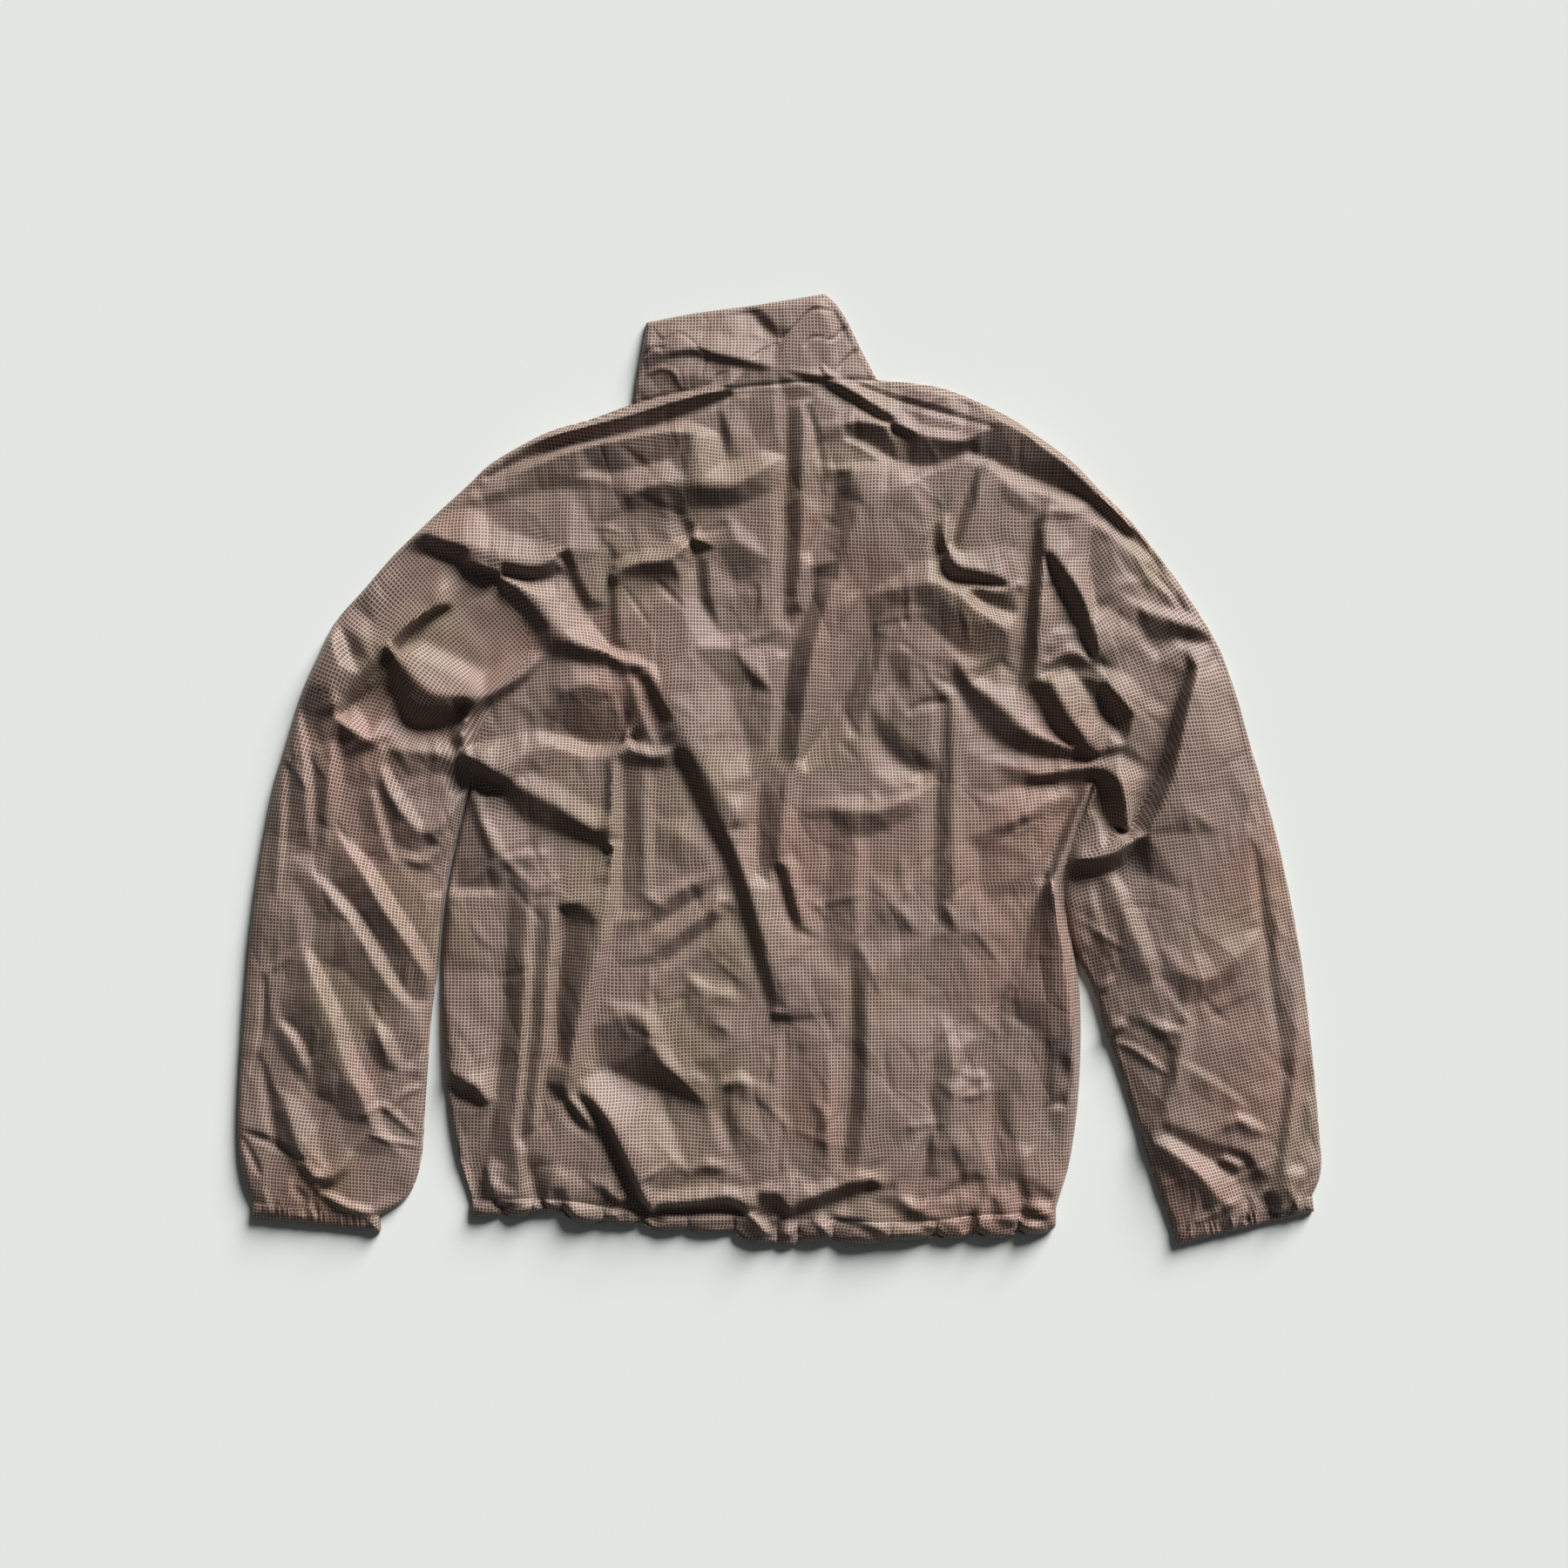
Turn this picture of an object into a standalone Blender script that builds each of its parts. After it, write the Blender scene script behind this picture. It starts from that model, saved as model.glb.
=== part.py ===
"""A windbreaker jacket laid flat, back up, with its sleeves turned down beside the body.

Metres, +Z up, +Y towards the collar, +X towards the wearer's right sleeve. The origin is
under the middle of the jacket, on the surface that it lies on. Every cloth piece is a wall:
the back panel is one wavy wall over two flat fronts, and sleeves, collar, cuffs and hem
band are flattened rings whose upper side carries the folds and whose lower side is flat.

Places in the plan are counted in squares of a lay plan, to the right from its left edge
and down from its top edge. Sizes across a fold, heights and wall thicknesses are in mm.
"""

from collections import namedtuple
from math import cos, pi, radians, sin

import bmesh
import bpy
import numpy as np

MM = 0.001

# Driving sizes.
CHEST_WIDTH = 528 * MM  # across the laid body, side fold to side fold
CHEST_SQUARES = 733  # the same width on the lay plan
SQUARE = CHEST_WIDTH / CHEST_SQUARES
PLAN_CENTRE = (894.65, 883.05)  # the square over the origin

WALL = 1.3 * MM  # taffeta as it lies, with its turnings
SEAM_GAP = 0.35 * MM
LOW_TOP = 2 * WALL + SEAM_GAP  # lowest outer surface of the upper layer
FOLD_RADIUS = 4.0 * MM  # how tightly the cloth rolls over at an edge
EDGE_TUCK = 0.9 * MM  # how far a ring's two layers lie inside its side folds
LOFT = 9.0 * MM  # how far trapped air lifts the upper layer
LOFT_REACH = 26.0 * MM  # distance from an edge at which most of the loft is reached
EDGE_CALM = 11.0 * MM  # folds fade out over this distance from an edge

# Zip, in mm. Heights are above the front panels' outer face, which faces down.
PANEL_EDGE = 5.0  # from the zip's middle to the front panel's folded edge
TAPE_INNER = 2.6
TAPE_OUTER = 14.0
TAPE_LOW = 1.65
TAPE_HIGH = 2.65
CHAIN_HALF = 2.2
CHAIN_LOW = 1.0
CHAIN_HIGH = 3.0
ZIP_LIFT = 3.6  # how far the slider and its tab hold the fronts off the surface
LIFT_SPREAD = 30.0  # from the zip's middle to where the fronts lie flat again
SLIDER_LENGTH = 10.5
SLIDER_WIDTH = 8.6
SLIDER_GAP = (0.7, 3.3)  # the chain runs between the slider's two plates
PLATE = 0.9
FLANGE = 0.5
POST_LENGTH = 2.6
BOX_SIZE = (7.6, 9.0, 3.0)
STOP_SIZE = (1.8, 3.2, 2.0)
BRIDGE_RADIUS = 1.6
BRIDGE_BAR = 0.5
TAB_PIN = 0.55
TAB_SIZE = (6.0, 22.0, 1.0)
TAB_WINDOW = (3.2, 3.4)
TAB_AXIS_DROP = 1.2  # from the slider's lower face to the tab's axis
TAB_CLEAR = 0.08  # under the tip of the tab, which leans on the surface

# Outline of the lay, in plan squares. Each edge is a smooth curve through its points.
NECK = ((727, 464), (780, 453), (840, 448), (915, 441), (950, 438), (1007, 437))
HEM_SEAM = (
    (541, 1376), (600, 1374), (650, 1376), (700, 1384), (745, 1389), (800, 1390), (860, 1391),
    (905, 1397), (950, 1398), (1000, 1400), (1060, 1400), (1120, 1393), (1170, 1391), (1212, 1386),
)
LEFT_SIDE = (
    (541, 1376), (524, 1318), (511, 1230), (507, 1130), (511, 1050), (521, 985), (532, 940), (541, 903),
)
LEFT_ARMHOLE = (
    (541, 903), (545, 868), (555, 836), (573, 803), (597, 773), (610, 740), (596, 704), (560, 671),
    (513, 644), (468, 622),
)
LEFT_SHOULDER = (
    (468, 622), (504, 588), (540, 555), (562, 534), (600, 511), (636, 494), (675, 483), (727, 464),
)
RIGHT_SIDE = (
    (1212, 1386), (1228, 1330), (1238, 1250), (1240, 1160), (1234, 1100), (1225, 1050), (1224, 1000),
    (1238, 950), (1253, 905),
)
RIGHT_ARMHOLE = (
    (1253, 905), (1263, 874), (1273, 846), (1276, 818), (1268, 782), (1257, 738), (1250, 670),
    (1251, 612), (1262, 563),
)
RIGHT_SHOULDER = (
    (1262, 563), (1232, 532), (1192, 502), (1150, 475), (1090, 449), (1050, 441), (1007, 437),
)
LEFT_OUTER = (
    (468, 622), (450, 640), (418, 677), (385, 715), (362, 760), (345, 800), (325, 865), (310, 920),
    (290, 1040), (278, 1180), (273, 1290), (278, 1345), (291, 1379),
)
LEFT_INNER = (
    (538, 906), (525, 945), (513, 988), (504, 1050), (500, 1110), (495, 1165), (489, 1260),
    (484, 1330), (468, 1374), (437, 1395),
)
RIGHT_OUTER = (
    (1262, 563), (1290, 590), (1325, 632), (1360, 680), (1397, 740), (1418, 795), (1432, 845),
    (1465, 960), (1490, 1080), (1505, 1200), (1514, 1300), (1516, 1345), (1506, 1372),
)
RIGHT_INNER = (
    (1257, 907), (1252, 950), (1238, 1000), (1235, 1050), (1242, 1097), (1254, 1130), (1268, 1180),
    (1287, 1232), (1320, 1335), (1346, 1409),
)
COLLAR_TOP = ((742, 371), (800, 360), (860, 352), (905, 345), (947, 338))
COLLAR_LEFT = ((727, 464), (731, 432), (736, 405), (742, 371))
COLLAR_RIGHT = ((1007, 437), (990, 405), (973, 370), (960, 350), (947, 338))
LEFT_CUFF_TOP = ((291, 1379), (437, 1395))
LEFT_CUFF_END = ((290, 1397), (438, 1413))
RIGHT_CUFF_TOP = ((1506, 1372), (1346, 1409))
RIGHT_CUFF_END = ((1508, 1390), (1352, 1428))
ZIP_LINE = (
    (864, 408), (864, 440), (864, 505), (867, 700), (874, 1000), (878, 1200), (880, 1419),
)

# Where the zip passes the pieces, in plan squares down from the plan's top edge.
FRONT_COLLAR_TOP = 408
SLIDER_AT = 426
FRONT_NECK = 505  # the front neckline is cut lower than the back one
FRONT_HEM_SEAM = 1389
FRONT_HEM_END = 1400

# The hem band's lower edge hangs in puffs between gathers: where each puff ends, how far it
# hangs below the hem seam at its middle and at its ends, and how high it stands.
Puff = namedtuple("Puff", "end hang notch rise")
PUFFS = (
    Puff(577, 20, 17, 5), Puff(612, 22, 18, 5), Puff(646, 15, 12, 7), Puff(694, 24, 18, 8),
    Puff(737, 18, 12, 7), Puff(790, 22, 20, 6), Puff(843, 24, 21, 5), Puff(893, 33, 30, 8),
    Puff(916, 31, 26, 7), Puff(956, 27, 23, 8), Puff(1022, 27, 24, 9), Puff(1074, 22, 17, 7),
    Puff(1120, 25, 20, 8), Puff(1168, 28, 20, 9), Puff(1212, 27, 20, 8),
)

# Folds of the upper layer. A fold is a face that climbs `rise` mm over `width` mm across its
# path, to the left of the path's direction, and falls away again over `low` mm below the
# face and `high` mm above it. `start` and `end` are the shares of the rise left at its ends.
Fold = namedtuple("Fold", "path width rise low high start end")
SHOULDER_FOLDS = (
    Fold(((535, 556), (600, 515), (650, 503), (745, 472), (836, 449)), 7, 7, 14, 6, 0.3, 0.9),
    Fold(((622, 575), (660, 546), (700, 528), (750, 511), (800, 505)), 20, 8, 26, 16, 0.2, 0.4),
    Fold(((715, 582), (745, 568), (790, 568), (822, 572)), 18, 8, 26, 24, 0.3, 0.3),
    Fold(((950, 440), (990, 462), (1042, 491)), 9, 6, 16, 12, 0.8, 0.3),
    Fold(((970, 494), (1020, 511), (1070, 518), (1118, 512)), 20, 13, 30, 26, 0.3, 0.6),
    Fold(((1138, 504), (1180, 528), (1222, 553), (1262, 582), (1330, 644)), 19, 15, 30, 10, 0.7, 0.2),
    Fold(((1128, 535), (1112, 580), (1098, 626)), 11, 6, 14, 18, 0.4, 0.6),
    Fold(((1084, 560), (1080, 615), (1095, 660), (1130, 672), (1165, 684)), 10, 8, 16, 26, 0.3, 0.3),
    Fold(((978, 552), (962, 590), (945, 642)), 26, 12, 20, 30, 0.5, 0.5),
)
LEFT_ARM_FOLDS = (
    Fold(((482, 616), (530, 640), (580, 654), (632, 662)), 19, 15, 30, 30, 0.6, 0.5),
    Fold(((520, 655), (560, 674), (600, 697), (640, 729), (692, 749)), 11, 11, 26, 16, 0.3, 0.7),
    Fold(((655, 640), (670, 672), (685, 710), (701, 746)), 12, 8, 14, 14, 0.3, 0.7),
    Fold(((443, 768), (475, 802), (510, 820), (545, 818)), 25, 20, 30, 44, 0.5, 0.3),
    Fold(((415, 776), (450, 742), (480, 715), (525, 697)), 9, 8, 30, 22, 0.5, 0.2),
    Fold(((537, 862), (539, 835), (552, 808), (578, 790), (624, 751)), 9, 10, 16, 30, 0.6, 0.3),
    Fold(((548, 884), (590, 908), (640, 932), (702, 966)), 22, 17, 28, 40, 0.8, 0.4),
    Fold(((650, 790), (690, 830), (722, 853)), 32, 12, 26, 18, 0.3, 0.5),
    Fold(((405, 838), (440, 866), (490, 885), (532, 888)), 22, 11, 26, 22, 0.4, 0.8),
    Fold(((425, 905), (452, 940), (482, 960), (520, 946)), 18, 9, 24, 24, 0.3, 0.4),
    Fold(((381, 735), (383, 800), (388, 860), (384, 925)), 14, 9, 26, 22, 0.6, 0.2),
    Fold(((430, 955), (455, 1015), (492, 1080)), 24, 7, 20, 26, 0.3, 0.2),
    Fold(((360, 1005), (395, 1050), (430, 1105), (470, 1175)), 14, 6, 26, 26, 0.2, 0.2),
    Fold(((362, 1150), (392, 1195), (412, 1245), (430, 1330)), 13, 6, 22, 26, 0.2, 0.4),
    Fold(((310, 1165), (335, 1240), (352, 1300), (376, 1352)), 12, 5, 20, 26, 0.2, 0.6),
)
RIGHT_ARM_FOLDS = (
    Fold(((1190, 602), (1183, 650), (1180, 715), (1172, 765), (1160, 812)), 9, 9, 18, 26, 0.5, 0.4),
    Fold(((1197, 631), (1220, 668), (1237, 702), (1252, 748)), 9, 9, 16, 28, 0.3, 0.8),
    Fold(((1262, 782), (1280, 812), (1294, 838)), 15, 13, 20, 26, 0.6, 0.6),
    Fold(((1302, 704), (1322, 728), (1350, 724), (1394, 729)), 12, 8, 20, 14, 0.3, 0.7),
    Fold(((1368, 765), (1357, 815), (1346, 860), (1325, 915), (1298, 985)), 10, 12, 26, 34, 0.3, 0.4),
    Fold(((1094, 748), (1120, 796), (1155, 840), (1200, 863), (1246, 876)), 19, 13, 30, 26, 0.3, 0.7),
    Fold(((1166, 766), (1190, 806), (1225, 846), (1262, 872)), 15, 10, 16, 22, 0.3, 0.7),
    Fold(((1110, 932), (1150, 907), (1190, 898), (1250, 898)), 6, 5, 18, 14, 0.3, 0.9),
    Fold(((1258, 1000), (1285, 1060), (1312, 1112)), 20, 8, 18, 24, 0.5, 0.2),
    Fold(((1335, 1150), (1345, 1200), (1334, 1260), (1312, 1302)), 12, 5, 22, 22, 0.2, 0.3),
    Fold(((1425, 975), (1445, 1050), (1456, 1150), (1466, 1230), (1462, 1355)), 10, 4, 20, 20, 0.2, 0.4),
    Fold(((1328, 1086), (1345, 1120), (1376, 1138), (1410, 1110), (1432, 1085)), 10, 4, 26, 22, 0.1, 0.1),
)
BODY_FOLDS = (
    Fold(((908, 470), (907, 560), (905, 650), (903, 750), (901, 850)), 11, 7, 18, 24, 0.8, 0.6),
    Fold(((901, 850), (884, 910), (879, 965), (893, 1012)), 19, 8, 24, 30, 0.6, 0.2),
    Fold(((942, 680), (921, 742), (908, 800), (900, 868)), 13, 8, 16, 24, 0.2, 0.5),
    Fold(((1024, 722), (1002, 785), (972, 850)), 40, 13, 26, 40, 0.2, 0.2),
    Fold(((1058, 690), (1100, 722), (1142, 752)), 34, 12, 26, 30, 0.4, 0.3),
    Fold(((793, 594), (799, 630), (808, 684)), 13, 6, 18, 30, 0.5, 0.6),
    Fold(((704, 636), (703, 690), (704, 744)), 9, 5, 14, 20, 0.5, 0.8),
    Fold(((748, 772), (775, 832), (802, 895), (832, 955)), 11, 9, 20, 50, 0.7, 0.9),
    Fold(((832, 955), (852, 1015), (870, 1080), (901, 1165)), 18, 9, 26, 34, 0.9, 0.5),
    Fold(((729, 872), (730, 970), (727, 1080)), 15, 4, 16, 20, 0.3, 0.3),
    Fold(((692, 1032), (674, 1092), (661, 1152), (652, 1250)), 17, 12, 22, 26, 0.8, 0.5),
    Fold(((600, 1014), (592, 1100), (577, 1240), (558, 1355)), 12, 6, 18, 16, 0.5, 0.6),
    Fold(((624, 1035), (614, 1150), (608, 1250), (604, 1335)), 12, 5, 16, 22, 0.4, 0.4),
    Fold(((684, 1262), (708, 1302), (728, 1345), (741, 1380)), 8, 8, 18, 34, 0.3, 0.9),
    Fold(((684, 1178), (722, 1206), (772, 1232)), 40, 7, 30, 30, 0.2, 0.2),
    Fold(((1088, 766), (1090, 850), (1085, 930), (1084, 1060)), 9, 4, 18, 18, 0.3, 0.5),
    Fold(((1203, 1020), (1180, 1090), (1150, 1165), (1114, 1238)), 24, 15, 34, 20, 0.9, 0.3),
    Fold(((1246, 908), (1228, 948), (1206, 1004)), 10, 9, 14, 10, 0.7, 0.9),
    Fold(((955, 940), (946, 1000), (945, 1075)), 26, 6, 24, 26, 0.3, 0.2),
    Fold(((979, 1100), (985, 1180), (984, 1260), (966, 1345)), 10, 5, 20, 20, 0.3, 0.4),
    Fold(((955, 1205), (925, 1262), (902, 1335)), 22, 7, 24, 22, 0.2, 0.4),
    Fold(((905, 1386), (942, 1370), (992, 1354)), 14, 9, 16, 24, 0.7, 0.4),
    Fold(((1140, 1195), (1141, 1290), (1150, 1372)), 13, 6, 20, 24, 0.3, 0.5),
    Fold(((743, 1386), (790, 1386), (835, 1377), (862, 1386)), 10, 9, 12, 30, 0.6, 0.6),
)
COLLAR_FOLDS = (
    Fold(((857, 350), (876, 372), (897, 390)), 8, 5, 22, 16, 0.9, 0.5),
    Fold(((768, 404), (820, 410), (888, 425)), 7, 4, 18, 20, 0.3, 0.2),
    Fold(((958, 424), (972, 408), (984, 402)), 5, 3, 14, 12, 0.3, 0.7),
)
FOLDS = SHOULDER_FOLDS + LEFT_ARM_FOLDS + RIGHT_ARM_FOLDS + BODY_FOLDS + COLLAR_FOLDS

# How finely each piece is divided.
ROWS_SIDE = 22
ROWS_ARMHOLE = 12
ROWS_SHOULDER = 11
BACK_COLUMNS = 26
SLEEVE_ROWS = 28
LOWER_STEP = 3  # the flat lower layer has one division for so many of the upper one
FRONT_COLUMNS = 4
COLLAR_COLUMNS = 24
COLLAR_ROWS = 5
GATHERS_PER_CUFF = 14
CUFF_GATHER = 1.6  # height of a gather, mm
HEM_COLUMNS_PER_PUFF = 4
HEM_ROWS = 4
ZIP_STEPS = 24


def to_frame(points):
    """Plan squares to metres in the jacket's frame."""
    points = np.asarray(points, float)
    return np.stack([points[:, 0] - PLAN_CENTRE[0], PLAN_CENTRE[1] - points[:, 1]], 1) * SQUARE


def spline(points, per_span=8):
    """A smooth curve through the points, with `per_span` steps between each two."""
    points = np.asarray(points, float)
    if len(points) < 3:
        return np.linspace(points[0], points[-1], per_span + 1)
    ends = np.vstack([2 * points[0] - points[1], points, 2 * points[-1] - points[-2]])
    t = np.linspace(0, 1, per_span, endpoint=False)[:, None]
    spans = []
    for a, b, c, d in zip(ends, ends[1:], ends[2:], ends[3:]):
        bend = (2 * a - 5 * b + 4 * c - d) * t**2 + (3 * b - a - 3 * c + d) * t**3
        spans.append(b + 0.5 * ((c - a) * t + bend))
    return np.vstack(spans + [points[-1:]])


def divide(points, count):
    """`count` + 1 points at even distances along the smooth curve through the points."""
    path = spline(points)
    length = np.r_[0, np.cumsum(np.linalg.norm(np.diff(path, axis=0), axis=1))]
    at = np.linspace(0, length[-1], count + 1)
    return np.stack([np.interp(at, length, path[:, axis]) for axis in (0, 1)], 1)


def patch(lower, upper, left, right):
    """A grid between four edges: rows follow left and right, columns lower and upper."""
    u = np.linspace(0, 1, len(lower))[None, :, None]
    v = np.linspace(0, 1, len(left))[:, None, None]
    across = (1 - v) * lower[None] + v * upper[None]
    along = (1 - u) * left[:, None] + u * right[:, None]
    corners = (1 - v) * ((1 - u) * lower[0] + u * lower[-1]) + v * ((1 - u) * upper[0] + u * upper[-1])
    return across + along - corners


def relax(grid, rounds=400):
    """The grid with its inner points moved until its cells are as even as its edges allow."""
    grid = grid.copy()
    for _ in range(rounds):
        down = (grid[2:, 1:-1] - grid[:-2, 1:-1]) / 2
        across = (grid[1:-1, 2:] - grid[1:-1, :-2]) / 2
        twist = (grid[2:, 2:] - grid[2:, :-2] - grid[:-2, 2:] + grid[:-2, :-2]) / 4
        long, wide, skew = (
            (one * other).sum(-1, keepdims=True)
            for one, other in ((down, down), (across, across), (down, across))
        )
        beside = grid[1:-1, 2:] + grid[1:-1, :-2]
        ahead = grid[2:, 1:-1] + grid[:-2, 1:-1]
        grid[1:-1, 1:-1] = (long * beside + wide * ahead - 2 * skew * twist) / (2 * (long + wide))
    return grid


def measure_along(path, points):
    """For each point: signed distance to the left of the path, share of its length, overshoot."""
    steps = np.diff(path, axis=0)
    lengths = np.linalg.norm(steps, axis=1)
    before = np.r_[0, np.cumsum(lengths)]
    nearest = np.full(len(points), np.inf)
    side, share, over = (np.zeros(len(points)) for _ in range(3))
    for index, (start, step, length) in enumerate(zip(path, steps, lengths)):
        offset = points - start
        along = offset @ step / length
        held = np.clip(along, 0, length)
        away = np.linalg.norm(offset - held[:, None] * step / length, axis=1)
        closer = away < nearest
        across = (step[0] * offset[:, 1] - step[1] * offset[:, 0]) / length
        beyond = np.zeros(len(points))
        if index == 0:
            beyond = np.maximum(beyond, -along)
        if index == len(steps) - 1:
            beyond = np.maximum(beyond, along - length)
        nearest = np.where(closer, away, nearest)
        signed = np.where(beyond > 0, across, np.sign(across) * away)
        side = np.where(closer, signed, side)
        share = np.where(closer, (before[index] + held) / before[-1], share)
        over = np.where(closer, beyond, over)
    return side, share, over


def fold_height(points):
    """Sum of all folds at the points, before they fade towards the edges."""
    height = np.zeros(len(points))
    for fold in FOLDS:
        path = to_frame(spline(fold.path, 3))
        half, low, high = fold.width * MM / 2, fold.low * MM, fold.high * MM
        reach = half + max(low, high)
        near = np.all((points > path.min(0) - reach) & (points < path.max(0) + reach), axis=1)
        if not near.any():
            continue
        side, share, over = measure_along(path, points[near])
        sunk = low / (low + high)
        face = np.clip(side / (2 * half) + 0.5, 0, 1) - sunk
        above = np.clip(1 - (side - half) / high, 0, 1) ** 1.5
        below = np.clip(1 - (-side - half) / low, 0, 1) ** 1.5
        shape = np.where(side > half, (1 - sunk) * above, np.where(side < -half, -sunk * below, face))
        swell = np.sin(pi * share)
        ends = fold.start + (fold.end - fold.start) * share
        fade = np.clip(1 - over / (half + 6 * MM), 0, 1) ** 2
        height[near] += fold.rise * MM * shape * (ends + (1 - ends) * swell) * fade
    return height


def edge_distance(points):
    """Distance from each point to the nearest edge of the whole lay."""
    loop = np.vstack([
        spline(LEFT_SIDE), spline(LEFT_INNER), spline(LEFT_CUFF_END)[::-1], spline(LEFT_OUTER)[::-1],
        spline(LEFT_SHOULDER), spline(COLLAR_LEFT), spline(COLLAR_TOP), spline(COLLAR_RIGHT)[::-1],
        spline(RIGHT_SHOULDER)[::-1], spline(RIGHT_OUTER), spline(RIGHT_CUFF_END), spline(RIGHT_INNER)[::-1],
        spline(RIGHT_SIDE)[::-1], hem_edge(HEM_COLUMNS_PER_PUFF)[::-1],
    ])
    loop = to_frame(loop)
    nearest = np.full(len(points), np.inf)
    for start, step in zip(loop, np.roll(loop, -1, axis=0) - loop):
        offset = points - start
        held = np.clip(offset @ step / max(step @ step, 1e-12), 0, 1)
        nearest = np.minimum(nearest, np.linalg.norm(offset - held[:, None] * step, axis=1))
    return nearest


def hem_edge(per_puff):
    """The hem band's lower edge in plan squares, `per_puff` steps to each puff."""
    seam = divide(HEM_SEAM, 200)
    start, last_notch, points = HEM_SEAM[0][0], PUFFS[-1].notch, []
    for puff in PUFFS:
        for step in range(per_puff):
            share = step / per_puff
            x = start + (puff.end - start) * share
            between = last_notch + (puff.notch - last_notch) * share
            hang = between + (puff.hang - between) * sin(pi * share) ** 0.6
            points.append((x, np.interp(x, seam[:, 0], seam[:, 1]) + hang))
        start, last_notch = puff.end, puff.notch
    points.append((start, HEM_SEAM[-1][1] + last_notch))
    return np.array(points)


def zip_offset(points):
    """Distance from the zip's middle line, and how near the slider the point lies, 0 to 1."""
    path = to_frame(spline(ZIP_LINE, 6))
    side, share, over = measure_along(path, points)
    down = share * np.linalg.norm(np.diff(path, axis=0), axis=1).sum() / MM
    near_slider = np.clip((120 - down) / 65, 0, 1)
    return np.hypot(side, over), near_slider**2 * (3 - 2 * near_slider)


def zip_lift(points):
    """How far the lower layer is held off the surface by the slider and its tab."""
    away, near_slider = zip_offset(points)
    spread = np.clip((LIFT_SPREAD * MM - away) / ((LIFT_SPREAD - TAPE_OUTER) * MM), 0, 1)
    return ZIP_LIFT * MM * near_slider * spread**2 * (3 - 2 * spread)


def top_height(points):
    """Outer surface of the upper layer."""
    flat = points.reshape(-1, 2)
    distance = edge_distance(flat)
    inside = np.minimum(distance, FOLD_RADIUS)
    roll = np.sqrt(inside * (2 * FOLD_RADIUS - inside))
    loft = LOFT * (1 - np.exp(-distance / LOFT_REACH))
    calm = np.clip(distance / EDGE_CALM, 0, 1)
    free = roll + loft + fold_height(flat) * calm
    away, near_slider = zip_offset(flat)
    over_zip = np.clip((24 * MM - away) / (8 * MM), 0, 1)
    lowest = LOW_TOP + over_zip * (1.8 + (ZIP_LIFT + 1.8) * near_slider) * MM
    settle = 2 * MM
    above = free - (lowest - LOW_TOP)
    height = lowest + 0.5 * (above + np.sqrt(above**2 + settle**2) - settle)
    return np.maximum(height, LOW_TOP).reshape(points.shape[:-1])


def finish_mesh(name, mesh_data, made_of, collection):
    mesh_data.normal_update()
    bmesh.ops.recalc_face_normals(mesh_data, faces=mesh_data.faces)
    mesh = bpy.data.meshes.new(name)
    mesh_data.to_mesh(mesh)
    mesh_data.free()
    mesh.materials.append(made_of)
    mesh.shade_smooth()
    mesh.set_sharp_from_angle(angle=radians(40))
    piece = bpy.data.objects.new(name, mesh)
    collection.objects.link(piece)
    return piece


def skin(mesh_data, grid, close_rows=False, close_columns=False):
    """Quads over a grid of vertices, joined round where asked."""
    rows, columns = len(grid), len(grid[0])
    for row in range(rows if close_rows else rows - 1):
        for column in range(columns if close_columns else columns - 1):
            below, above = grid[row], grid[(row + 1) % rows]
            right = (column + 1) % columns
            mesh_data.faces.new((below[column], below[right], above[right], above[column]))


def panel(name, plan, upper, wall, made_of, collection):
    """A cloth wall: the grid `plan`, its outer heights, and its thickness straight down."""
    mesh_data = bmesh.new()
    sheets = []
    for height in (upper, upper - wall):
        grid = [
            [mesh_data.verts.new((x, y, z)) for (x, y), z in zip(row, heights)]
            for row, heights in zip(plan, height)
        ]
        sheets.append(grid)
    for grid in sheets:
        skin(mesh_data, grid)
    rims = []
    for grid in sheets:
        right = [row[-1] for row in grid[1:-1]]
        left = [row[0] for row in grid[-2:0:-1]]
        rims.append(grid[0] + right + grid[-1][::-1] + left)
    skin(mesh_data, rims, close_columns=True)
    return finish_mesh(name, mesh_data, made_of, collection)


def inward(row, end):
    """Unit vector from the first (0) or last (-1) point of a row to the next one inside."""
    step = row[1] - row[0] if end == 0 else row[-2] - row[-1]
    return step / np.linalg.norm(step)


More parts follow.
